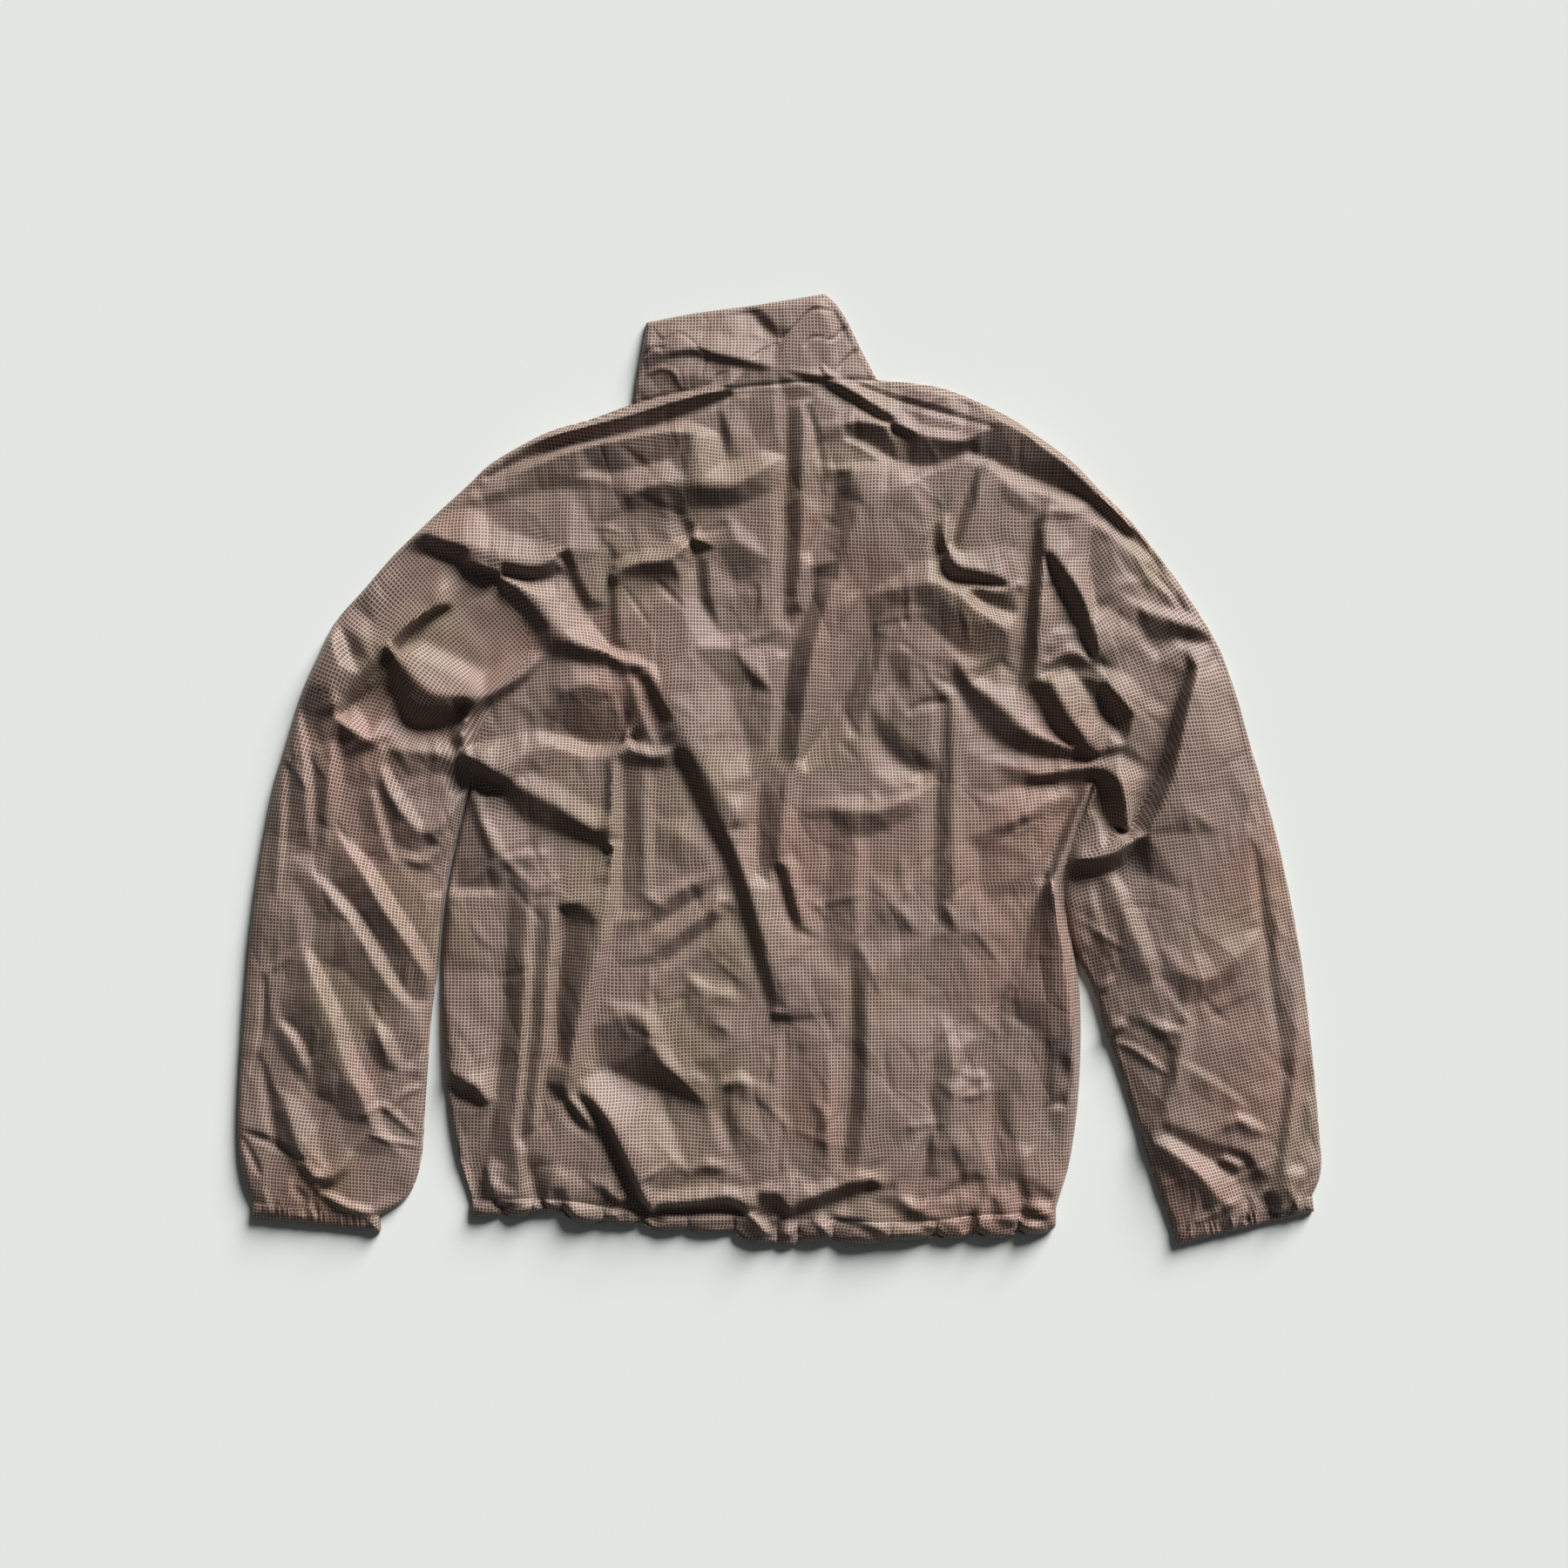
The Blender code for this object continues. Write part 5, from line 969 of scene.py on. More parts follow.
def lowest_between(heights, keep):
    """For each kept column, the lowest height between its two kept neighbours."""
    bounds = [keep[0], *keep, keep[-1]]
    return np.stack([heights[:, bounds[k] : bounds[k + 2] + 1].min(axis=1) for k in range(len(keep))], 1)


def some_of(count, step):
    """Every `step`th column number, with the last one."""
    return sorted({*range(0, count, step), count - 1})


seam_lines = {}  # the line of stitches on each piece, from its left end to its right
CUFF_STITCH_ROW, COLLAR_STITCH_ROW, HEM_STITCH_ROW = 10.6, 2.5, 14.6  # rows of each grid, from its lower edge


def line_on(grid, row):
    """The line across a grid of points at a row that may lie between two others, without its ends."""
    share = row % 1
    return (grid[int(row)] * (1 - share) + grid[int(row) + 1] * share)[2:-2]


# %% Panels and tubes
EDGE_TUCK = 0.9 * MM  # how far the turned edges of a tube pull in
SIDE_SEAM = 1.55 * MM  # height at which the two layers meet at a folded side


def inwards(plan, end):
    """Unit steps from the first (0) or last (-1) column of a grid towards the next one."""
    step = plan[:, 1] - plan[:, 0] if end == 0 else plan[:, -2] - plan[:, -1]
    return step / np.linalg.norm(step, axis=1)[:, None]


def tube_loops(plan, top, low_plan, low, inset, keep):
    """Rows of points round a flattened tube: left side, upper layer, right side, lower layer."""
    heights = lowest_between(top, keep) - inset if inset else top[:, keep]
    above = np.dstack([plan[:, keep], heights])
    below = np.dstack([low_plan, low + inset])
    sides = []
    for end in (0, -1):
        step = inwards(plan, end)
        middle = np.minimum((top[:, end] + low[:, end]) / 2, SIDE_SEAM + low[:, end])
        sides.append(np.c_[plan[:, end] + step * inset, middle][:, None])
        above[:, end, :2] += step * (EDGE_TUCK + inset)
        below[:, end, :2] += inwards(low_plan, end) * (EDGE_TUCK + inset)
    return sides[0], above, sides[1], below[:, ::-1]


def tube(name, plan, top, low_plan, low, flat_top, flat_low, step, finish, split=False):
    """A flattened tube of cloth, open at its first and last row, or also along the zip."""
    every, keep = list(range(plan.shape[1])), some_of(plan.shape[1], step)
    outer = tube_loops(plan, top, low_plan, low, 0, every)
    inner = tube_loops(plan, top, low_plan, low, CLOTH, keep)
    flat = [flat_top[:, :1], flat_top, flat_top[:, -1:], flat_low[:, ::-1]]
    count, lows = plan.shape[1], low_plan.shape[1]
    if split:
        half = lows // 2
        order = lambda a: [a[3][:, half:], a[0], a[1], a[2], a[3][:, :half]]
        places = list(range(lows - half + 1)) + [lows - half + 1 + k for k in keep]
        places += list(range(lows - half + 1 + count, lows + count + 2))
    else:
        order = list
        places = [0] + [1 + k for k in keep] + list(range(1 + count, 2 + count + lows))
    outer, inner, flat = (np.concatenate(order(rows), axis=1) for rows in (outer, inner, flat))
    return shell(name, outer, inner, places, flat, finish, closed=not split)


# %% [markdown]
# ## Where each point lies in the flat cloth
#
# We unroll the surface: along every row and column we add up how much longer the cloth is
# than the plan under it. The sum fades over a short reach, because the real cloth also
# slides and evens out, and so the check stays straight over the whole panel.

# %% Cloth map
SLIDE_REACH = 45 * MM


def faded_sum(extra, steps):
    """Running sum of the extra lengths along the first axis, fading with distance."""
    total, sums = np.zeros(extra.shape[1]), [np.zeros(extra.shape[1])]
    for more, step in zip(extra, steps):
        total = total * np.exp(-step / SLIDE_REACH) + more
        sums.append(total)
    return np.array(sums)


def cloth_map(plan, height, flat):
    """The flat positions with the length that the folds take up added to them."""
    surface, spots = np.dstack([plan, height]), flat.copy()
    for axis, part in ((1, 0), (0, 1)):
        over = np.moveaxis(np.linalg.norm(np.diff(surface, axis=axis), axis=2), axis, 0)
        under = np.moveaxis(np.linalg.norm(np.diff(plan, axis=axis), axis=2), axis, 0)
        slip = faded_sum(over - under, under) - faded_sum((over - under)[::-1], under[::-1])[::-1]
        spots[..., part] += 0.5 * np.moveaxis(slip, 0, axis)
    return spots


def along_midline(points, midline, sign):
    """Positions across and along a sleeve, from the smooth line down its middle."""
    path = to_frame(spline(midline, 40))
    along = np.gradient(path, axis=0)
    steps = np.linalg.norm(along, axis=1)
    along /= steps[:, None]
    run = np.r_[0, np.cumsum(np.linalg.norm(np.diff(path, axis=0), axis=1))]
    bend = np.gradient(np.unwrap(np.arctan2(along[:, 1], along[:, 0]))) / steps
    flat = points.reshape(-1, 2)
    nearest = np.concatenate([
        ((part[:, None] - path[None]) ** 2).sum(2).argmin(1) for part in np.array_split(flat, 40)
    ])
    offset, ahead = flat - path[nearest], along[nearest]
    side = ahead[:, 0] * offset[:, 1] - ahead[:, 1] * offset[:, 0]
    past = (offset * ahead).sum(1) / np.maximum(1 - bend[nearest] * side, 0.4)
    return np.stack([sign * side, run[nearest] + past], 1).reshape(points.shape)


# %% [markdown]
# ## The woven check
#
# The cloth is a fine two-colour check: pale yarns at even distances both ways over a dark
# brown ground, crisp and slightly glossy. In the shader the check comes from the flat
# positions, so its squares turn and squeeze with the folds. Nylon yarns are never quite
# even, so some noise moves their tone. Soft patches of rose and olive tint the whole, and
# a fine crinkle goes into the bump, because light nylon keeps every small crease.

# %% Shader helpers
class Value:
    """A shader socket that does arithmetic: an expression on it adds its Math nodes."""

    def __init__(self, tree, socket):
        self.tree, self.socket = tree, socket

    def math(self, operation, *others):
        return Value(self.tree, self.tree.nodes_add("Math", {"operation": operation}, (self, *others))[0])

    def math3(self, operation, other):
        """A Vector Math node; a plain number is the scale."""
        slots = {0: self, 3 if operation == "SCALE" else 1: other}
        return Value(self.tree, self.tree.nodes_add("VectorMath", {"operation": operation}, slots)[0])

    def __add__(self, other):
        return self.math("ADD", other)

    __radd__ = __add__

    def __mul__(self, other):
        return self.math("MULTIPLY", other)

    def __sub__(self, other):
        return self.math("SUBTRACT", other)


class Finish:
    """A material with one Principled shader, and a method that adds any node."""

    def __init__(self, name, **constants):
        self.material = bpy.data.materials.new(name)
        self.material.use_nodes = True
        self.tree = self.material.node_tree
        self.shader = self.tree.nodes["Principled BSDF"]
        for socket, value in constants.items():
            self.shader.inputs[socket.replace("_", " ")].default_value = value

    def nodes_add(self, kind, settings, inputs):
        """A node of a type, its settings, and the values or links of its sockets."""
        node = self.tree.nodes.new("ShaderNode" + kind)
        for name, value in settings.items():
            setattr(node, name, value)
        pairs = inputs.items() if isinstance(inputs, dict) else enumerate(inputs)
        for slot, value in pairs:
            if isinstance(value, Value):
                self.tree.links.new(value.socket, node.inputs[slot])
            else:
                node.inputs[slot].default_value = value
        return node.outputs

    def value(self, kind, settings, inputs, output=0):
        return Value(self, self.nodes_add(kind, settings, inputs)[output])

    def smooth(self, value, low, high):
        """0 under `low`, 1 over `high`, smooth between."""
        settings = {"interpolation_type": "SMOOTHSTEP"}
        return self.value("MapRange", settings, {"Value": value, "From Min": low, "From Max": high})

    def blend(self, share, first, second, kind="MIX"):
        """A mix of two colours."""
        settings = {"data_type": "RGBA", "blend_type": kind}
        return self.value("Mix", settings, {0: share, 6: first, 7: second}, 2)

    def noise(self, vector, scale, detail=2.0, roughness=0.5):
        inputs = {"Vector": vector, "Scale": scale, "Detail": detail, "Roughness": roughness}
        return self.value("TexNoise", {}, inputs)

    def facets(self, vector, cells, slope):
        """Height in metres of flat faces at a slope that meet along straight creases."""
        inputs = {"Vector": vector.math3("MULTIPLY", (1.0, 0.55, 1.0)), "Scale": cells}
        return self.value("TexVoronoi", {"feature": "DISTANCE_TO_EDGE"}, inputs) * (slope / cells)

    def set(self, socket, value):
        self.tree.links.new(value.socket, self.shader.inputs[socket])

    def bump(self, height):
        """Small relief, by its height in metres."""
        self.set("Normal", self.value("Bump", {}, {"Height": height, "Distance": 1.0, "Strength": 1.0}))


# %% Checked nylon
CHECK_PITCH = 2.7 * MM
LINE_SHARE = 0.27  # of the pitch
BEND = 0.012  # m by which noise bends the lines of fine creases
DARK_GROUND = (0.060, 0.037, 0.030, 1)
PALE_YARN = (0.328, 0.244, 0.204, 1)
ROSE, OLIVE = (1.10, 0.97, 0.95, 1), (0.97, 1.01, 0.90, 1)


def checked_nylon():
    shine = {"Roughness": 0.58, "Specular_IOR_Level": 0.32, "Sheen_Weight": 0.1, "Sheen_Roughness": 0.4}
    finish = Finish("checked_cloth", **shine)
    spot = finish.value("UVMap", {"uv_map": "cloth"}, {})
    here = finish.value("TexCoord", {}, {}, 3)
    across, along = (finish.value("SeparateXYZ", {}, {0: spot}, axis) for axis in (0, 1))
    lines = []
    for place in (across, along):
        turn = (place * (1 / CHECK_PITCH)).math("FRACT")
        off_middle = (turn - 0.5).math("ABSOLUTE")
        lines.append(finish.smooth(off_middle, LINE_SHARE / 2 + 0.06, LINE_SHARE / 2 - 0.06))
    yarns = lines[0].math("MAXIMUM", lines[1])
    crossing = lines[0].math("MINIMUM", lines[1])
    uneven = finish.noise(spot, 900.0, 1.0)
    tone = finish.blend(yarns * (0.82 + uneven * 0.3), DARK_GROUND, PALE_YARN)
    rosy = finish.smooth(finish.noise(here, 7.0, 1.5), 0.48, 0.72)
    olive = finish.smooth(finish.noise(here, 9.0, 1.5, 0.6), 0.52, 0.30)
    tone = finish.blend(rosy, tone, finish.blend(1.0, tone, ROSE, "MULTIPLY"))
    tone = finish.blend(olive, tone, finish.blend(1.0, tone, OLIVE, "MULTIPLY"))
    finish.set("Base Color", tone)
    calm = finish.smooth(finish.noise(here, 11.0, 1.0), 0.30, 0.62)
    drift = finish.value("TexNoise", {}, {"Vector": spot, "Scale": 24.0, "Detail": 1.0}, 1)
    bent = drift.math3("SCALE", BEND).math3("ADD", spot)
    crinkle = finish.facets(bent, 22.0, 0.14) * calm + finish.facets(bent, 60.0, 0.07)
    finish.bump(crinkle + (yarns + crossing * 0.5) * 0.00004)
    return finish.material


cloth = checked_nylon()

# %% [markdown]
# ## Back panel
#
# The back is one piece of cloth from the hem casing to the neck. Its grid runs between the
# hem seam, the neck seam and the two body sides, so its edges fall exactly on the seams,
# and the side folds turn down to meet the fronts.

# %% Back panel
ROWS_SIDE, ROWS_ARMHOLE, ROWS_SHOULDER, BACK_COLUMNS = 154, 108, 88, 232
BACK_INNER_EVERY, INNER_EVERY = 8, 6  # the inner skin keeps one column in so many


def body_edge(side, armhole, shoulder):
    parts = divide(side, ROWS_SIDE)[:-1], divide(armhole, ROWS_ARMHOLE)[:-1], divide(shoulder, ROWS_SHOULDER)
    return to_frame(np.vstack(parts))


INNER_DROP = 0.1 * MM  # the inner skin's rim lies this far lower


def side_heights(height, rows_turned):
    """Heights of the points under a panel's edge: the side seam's, or just under the panel."""
    return np.where(rows_turned, SIDE_SEAM, height - CLOTH)


def build_back():
    left = body_edge(LEFT_SIDE, LEFT_ARMHOLE, LEFT_SHOULDER)
    right = body_edge(RIGHT_SIDE, RIGHT_ARMHOLE, RIGHT_SHOULDER)
    lower, upper = (to_frame(divide(edge, BACK_COLUMNS)) for edge in (HEM_SEAM, NECK))
    plan = patch(lower, upper, left, right)
    height = top_height(plan)
    row = np.arange(len(plan))
    turned = (row < ROWS_SIDE) | (row > ROWS_SIDE + ROWS_ARMHOLE)
    keep = some_of(BACK_COLUMNS + 1, BACK_INNER_EVERY)
    under = np.dstack([plan[:, keep], lowest_between(height, keep) - CLOTH])
    edges = [side_heights(height[:, end], turned) for end in (0, -1)]
    steps = [inwards(plan, end) for end in (0, -1)]
    rims = [np.c_[plan[:, end], edge][:, None] for end, edge in zip((0, -1), edges)]
    insides = [
        np.c_[plan[:, end] + step * CLOTH, edge - INNER_DROP][:, None]
        for end, edge, step in zip((0, -1), edges, steps)
    ]
    for end, step in zip((0, -1), steps):
        under[:, end, :2] += step * CLOTH
    outer = np.hstack([rims[0], np.dstack([plan, height]), rims[1]])
    inner = np.hstack([insides[0], under, insides[1]])
    flat = cloth_map(plan, height, plan)
    flat = np.hstack([flat[:, :1], flat, flat[:, -1:]])
    places = [0] + [column + 1 for column in keep] + [BACK_COLUMNS + 2]
    return shell("back_panel", outer, inner, places, flat, cloth)


def dress(piece, node):
    """The cloth piece stands for its node."""
    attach(piece, "jacket")
    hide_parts(node)
    skins = sum(face.area for face in piece.data.polygons)
    print(piece.name, len(piece.data.polygons), "faces,", round(skins / 2, 4), "square metres of cloth")


back = build_back()
dress(back, "back")

# %% [markdown]
# ## Front panels
#
# The two fronts lie under the back, flat on the table, and part along the zip. Their outer
# face looks down. Near the slider they lift a few millimetres, because the metal holds them
# off the table, so we add that small rise to an otherwise level grid.

# %% Fronts
def zip_side(offset, top, bottom, count):
    """Points `offset` mm to the right of the zip's middle, between two heights of the plan."""
    path = spline(ZIP_LINE)
    down = np.linspace(top, bottom, count + 1)
    line = to_frame(np.stack([np.interp(down, path[:, 1], path[:, 0]), down], 1))
    along = np.gradient(line, axis=0)
    along /= np.linalg.norm(along, axis=1)[:, None]
    return line + offset * MM * np.stack([-along[:, 1], along[:, 0]], 1)


PANEL_EDGE = 5.0  # mm from the zip's middle to the fronts' folded edges
FRONT_COLUMNS, BAND_COLUMNS = 16, 10  # columns of a front, and of half a collar or hem


def half_patch(sign, top, bottom, outer, columns):
    """A grid from a body edge, hem first, to the zip; straight at its top and bottom."""
    inner = zip_side(sign * PANEL_EDGE, top, bottom, len(outer) - 1)[::-1]
    lower, upper = (np.linspace(outer[end], inner[end], columns + 1) for end in (0, -1))
    return patch(lower, upper, outer, inner)


FRONT_EDGE_ROWS = (50, 24, 30)
FRONT_SEAM_DROP = 0.05 * MM  # the front's side seam lies this far under the back's


def build_front(name, sign, side, armhole, shoulder):
    counts = FRONT_EDGE_ROWS
    parts = divide(side, counts[0])[:-1], divide(armhole, counts[1])[:-1], divide(shoulder, counts[2])
    outer = to_frame(np.vstack(parts))
    plan = half_patch(sign, FRONT_NECK, FRONT_HEM_SEAM, outer, FRONT_COLUMNS)
    lift = zip_lift(plan.reshape(-1, 2)).reshape(plan.shape[:2])
    step = inwards(plan, 0)
    rolled = plan.copy()
    rolled[:, 0] += step * EDGE_TUCK
    rim = np.c_[plan[:, 0], lift[:, 0] + SIDE_SEAM - FRONT_SEAM_DROP][:, None]
    outer = np.hstack([rim, np.dstack([rolled, lift])])
    rim_in = np.c_[plan[:, 0] + step * CLOTH, lift[:, 0] + SIDE_SEAM - FRONT_SEAM_DROP][:, None]
    inside = np.dstack([rolled, lift + CLOTH])
    inside[:, 0, :2] += step * CLOTH
    inner = np.hstack([rim_in, inside])
    flat = np.hstack([plan[:, :1], plan])
    places = list(range(outer.shape[1]))
    turn = slice(None) if sign > 0 else slice(None, None, -1)
    return shell(name, outer[:, turn], inner[:, turn], places, flat[:, turn], cloth)


front_left = build_front("left_front_panel", -1, LEFT_SIDE, LEFT_ARMHOLE, LEFT_SHOULDER)
front_right = build_front("right_front_panel", 1, RIGHT_SIDE, RIGHT_ARMHOLE, RIGHT_SHOULDER)
dress(front_left, "front_left")
dress(front_right, "front_right")

# %% [markdown]
# ## Sleeves
#
# A sleeve is a tube, flat on the table, turned down beside the body. Its check runs along
# the arm and not with the body's, which is how we see where the sleeve begins. We lay a
# grid between the armhole, the cuff and the two folded sides, and relax it until its cells
# are even, because the armhole bends too sharply for a plain one.

# %% Sleeves
SLEEVE_COARSE_ROWS, SLEEVE_COARSE_COLUMNS, SLEEVE_FINER = 44, 16, (7, 6)
SLEEVE_LOW_EVERY = 16  # the flat lower layer needs few columns
LEFT_MIDLINE = ((364, 1388), (385, 1200), (398, 1000), (425, 850), (480, 745), (565, 665))
RIGHT_MIDLINE = ((1426, 1391), (1385, 1200), (1350, 1030), (1325, 880), (1290, 760), (1225, 650))


def build_sleeve(name, armhole, outer, inner, midline, sign):
    seam = to_frame(divide(armhole, SLEEVE_COARSE_COLUMNS))[::-1]
    outside = to_frame(divide(outer, SLEEVE_COARSE_ROWS))[::-1]
    inside = to_frame(divide(inner, SLEEVE_COARSE_ROWS))[::-1]
    outside[-1], inside[-1] = seam[0], seam[-1]
    lower = np.linspace(outside[0], inside[0], SLEEVE_COARSE_COLUMNS + 1)
    plan = refine(relax(patch(lower, seam, outside, inside)), *SLEEVE_FINER)
    top = top_height(plan)
    under = plan[:, some_of(plan.shape[1], SLEEVE_LOW_EVERY)]
    low = np.zeros(under.shape[:2])
    flat = cloth_map(plan, top, along_midline(plan, midline, sign))
    return tube(name, plan, top, under, low, flat, along_midline(under, midline, sign), INNER_EVERY, cloth)


sleeve_left = build_sleeve("left_sleeve_tube", LEFT_ARMHOLE, LEFT_OUTER, LEFT_INNER, LEFT_MIDLINE, -1)
sleeve_right = build_sleeve("right_sleeve_tube", RIGHT_ARMHOLE, RIGHT_OUTER, RIGHT_INNER, RIGHT_MIDLINE, 1)
dress(sleeve_left, "sleeve_left")
dress(sleeve_right, "sleeve_right")

# %% [markdown]
# ## Cuffs
#
# Elastic in a narrow casing draws each sleeve end into fine gathers. A gather is a rounded
# rib with a sharp valley beside it, so we raise a row of rectified cosines over the casing.
# No two gathers are alike, so slow waves shift them a little off their even places.

# %% Cuffs
GATHERS_PER_CUFF = 14
CUFF_GATHER = 1.6 * MM
CUFF_ROWS, COLUMNS_PER_GATHER, CUFF_LOW_COLUMNS, CUFF_INNER_EVERY = 13, 14, 14, 7


def build_cuff(name, top, end):
    upper, lower = to_frame(top), to_frame(end)
    shares = np.linspace(1, 0, CUFF_ROWS)
    wide, narrow = (
        np.array([np.linspace(*(upper + (lower - upper) * share), columns + 1) for share in shares])
        for columns in (GATHERS_PER_CUFF * COLUMNS_PER_GATHER, CUFF_LOW_COLUMNS)
    )
    turns = np.linspace(0, GATHERS_PER_CUFF, wide.shape[1])
    wander = 0.35 * np.sin(turns * 1.7) + 0.2 * np.sin(turns * 3.1 + 1)
    fade = np.sin(pi * turns / GATHERS_PER_CUFF) ** 0.5
    waves = np.abs(np.cos(pi * (turns + wander))) ** 0.7 * fade
    pinch = 0.45 + 0.55 * np.sin(pi * np.clip(shares * 1.15, 0, 1)) ** 0.6
    heights = top_height(wide) + CUFF_GATHER * (1 - waves)[None] * pinch[:, None]
    flat = cloth_map(wide, heights, wide)
    low = np.zeros(narrow.shape[:2])
    seam_lines[name] = line_on(np.dstack([wide, heights]), CUFF_STITCH_ROW)
    return tube(name, wide, heights, narrow, low, flat, narrow, CUFF_INNER_EVERY, cloth)


cuff_left = build_cuff("left_cuff_casing", LEFT_CUFF_TOP, LEFT_CUFF_END)
cuff_right = build_cuff("right_cuff_casing", RIGHT_CUFF_TOP[::-1], RIGHT_CUFF_END[::-1])
dress(cuff_left, "cuff_left")
dress(cuff_right, "cuff_right")

# %% [markdown]
# ## Stand collar
#
# The collar is a band that stands up when worn. Laid flat, it folds over at its two sides
# and opens at the zip underneath, so it is a tube that is split in the middle of its lower
# layer. It shares the neck seam with the back.

# %% Collar
COLLAR_COLUMNS, COLLAR_ROWS = 216, 60


def build_collar():
    lower, upper = to_frame(divide(NECK, COLLAR_COLUMNS)), to_frame(divide(COLLAR_TOP, COLLAR_COLUMNS))
    left, right = to_frame(divide(COLLAR_LEFT, COLLAR_ROWS)), to_frame(divide(COLLAR_RIGHT, COLLAR_ROWS))
    plan = patch(lower, upper, left, right)
    top = top_height(plan)
    sides = ((-1, left), (1, right))
    halves = [half_patch(sign, FRONT_COLLAR_TOP, FRONT_NECK, edge, BAND_COLUMNS) for sign, edge in sides]
    under = np.concatenate([halves[0], halves[1][:, ::-1]], axis=1)
    low = zip_lift(under.reshape(-1, 2)).reshape(under.shape[:2])
    flat = cloth_map(plan, top, plan)
    seam_lines["stand_collar"] = line_on(np.dstack([plan, top]), COLLAR_STITCH_ROW)
    return tube("stand_collar", plan, top, under, low, flat, under, INNER_EVERY, cloth, split=True)


collar = build_collar()
dress(collar, "collar")

# %% [markdown]
# ## Hem casing
#
# The hem is a casing with elastic in it. Between its gathers the cloth hangs in loose
# puffs, each a bit wider, longer or fuller than the next, as a short table says. The puffs
# swell fast at the gathers and stay rather flat between them, as light crisp cloth does.

# %% Hem casing
HEM_COLUMNS_PER_PUFF, HEM_ROWS, PUFF_SWELL = 24, 16, 0.5
SWELL_ACROSS, SWELL_DOWN, SWELL_REACH = 0.5, 0.8, 0.85  # the swell's shape across and down a puff
HEM_CORNER = 10  # squares from the hem seam to the lower layer's corner


def build_hem():
    edge = hem_edge(HEM_COLUMNS_PER_PUFF)
    seam = divide(HEM_SEAM, SEAM_STEPS)
    top = np.stack([edge[:, 0], np.interp(edge[:, 0], seam[:, 0], seam[:, 1])], 1)
    shares = np.linspace(1, 0, HEM_ROWS + 1)
    plan = np.array([to_frame(top + (edge - top) * share) for share in shares])
    puff = np.arange(len(edge)) / HEM_COLUMNS_PER_PUFF
    rises = np.array([item.rise for item in PUFFS] + [PUFFS[-1].rise]) * MM
    swell = PUFF_SWELL * rises[puff.astype(int)] * np.abs(np.sin(pi * (puff % 1))) ** SWELL_ACROSS
    bulge = np.sin(pi * np.clip(shares * SWELL_REACH, 0, 1))[:, None] ** SWELL_DOWN
    heights = top_height(plan) + swell[None] * bulge
    halves = []
    for sign, corner in ((-1, edge[0]), (1, edge[-1])):
        start = top[0] if sign < 0 else top[-1]
        outer = to_frame(np.linspace((corner[0], start[1] + HEM_CORNER), start, HEM_ROWS + 1))
        halves.append(half_patch(sign, FRONT_HEM_SEAM, FRONT_HEM_END, outer, BAND_COLUMNS))
    under = np.concatenate([halves[0], halves[1][:, ::-1]], axis=1)
    flat = cloth_map(plan, heights, plan)
    seam_lines["hem_casing"] = line_on(np.dstack([plan, heights]), HEM_STITCH_ROW)
    low = np.zeros(under.shape[:2])
    return tube("hem_casing", plan, heights, under, low, flat, under, INNER_EVERY, cloth, split=True)


hem = build_hem()
dress(hem, "hem_band")

# %% [markdown]
# ## Zip tapes
#
# A zip tape is a narrow woven ribbon, dyed dark, sewn inside the front's folded edge. It
# has a thicker beaded edge beside the coil. We sweep a short row of points along the
# zip's own line, and give it a fine rib across, because such tape is woven in ribs.

# %% Zip tapes
TAPE_INNER, TAPE_LOW = 2.6, 1.65  # mm from the zip's middle, and above the fronts' face
TAPE_ROWS, TAPE_COLUMNS = 360, 8
TAPE_THIN, BEAD_WIDTH, BEAD_RISE = 0.55, 1.6, 0.4  # mm
TAPE_SHORT = 1, 9  # squares short of the collar's top and the hem
TAPE_TOP, TAPE_END = FRONT_COLLAR_TOP + TAPE_SHORT[0], FRONT_HEM_END - TAPE_SHORT[1]
RIB_PITCH = 0.9 * MM


def woven_tape():
    finish = Finish("zip_tape_weave", Roughness=0.85, Specular_IOR_Level=0.25, Sheen_Weight=0.15)
    spot = finish.value("UVMap", {"uv_map": "cloth"}, {})
    across, along = (finish.value("SeparateXYZ", {}, {0: spot}, axis) for axis in (0, 1))
    rib = (along * (2 * pi / RIB_PITCH)).math("SINE") * 0.5 + 0.5
    warp = (across * (2 * pi / RIB_PITCH)).math("SINE") * 0.5 + 0.5
    weave = rib * 0.7 + warp * 0.3
    finish.set("Base Color", finish.blend(weave, (0.045, 0.030, 0.025, 1), (0.125, 0.088, 0.074, 1)))
    finish.bump(weave * 0.00012)
    return finish.material


def build_tape(name, sign, finish):
    away = np.linspace(TAPE_INNER, TAPE_OUTER, TAPE_COLUMNS)
    plan = np.stack([zip_side(sign * offset, TAPE_TOP, TAPE_END, TAPE_ROWS) for offset in away], 1)
    middle = zip_side(0, TAPE_TOP, TAPE_END, TAPE_ROWS)
    lift = np.repeat(zip_lift(middle)[:, None], TAPE_COLUMNS, 1)
    bead = np.clip(1 - (away - TAPE_INNER) / BEAD_WIDTH, 0, 1)
    low = lift + TAPE_LOW * MM + np.zeros(TAPE_COLUMNS)
    high = low + (TAPE_THIN + BEAD_RISE * bead) * MM
    run = np.r_[0, np.cumsum(np.linalg.norm(np.diff(middle, axis=0), axis=1))]
    flat = np.stack(np.broadcast_arrays(away[None] * MM, run[:, None]), 2)
    turn = slice(None) if sign > 0 else slice(None, None, -1)
    outer, inner, flat = (a[:, turn] for a in (np.dstack([plan, low]), np.dstack([plan, high]), flat))
    return shell(name, outer, inner, list(range(TAPE_COLUMNS)), flat, finish)


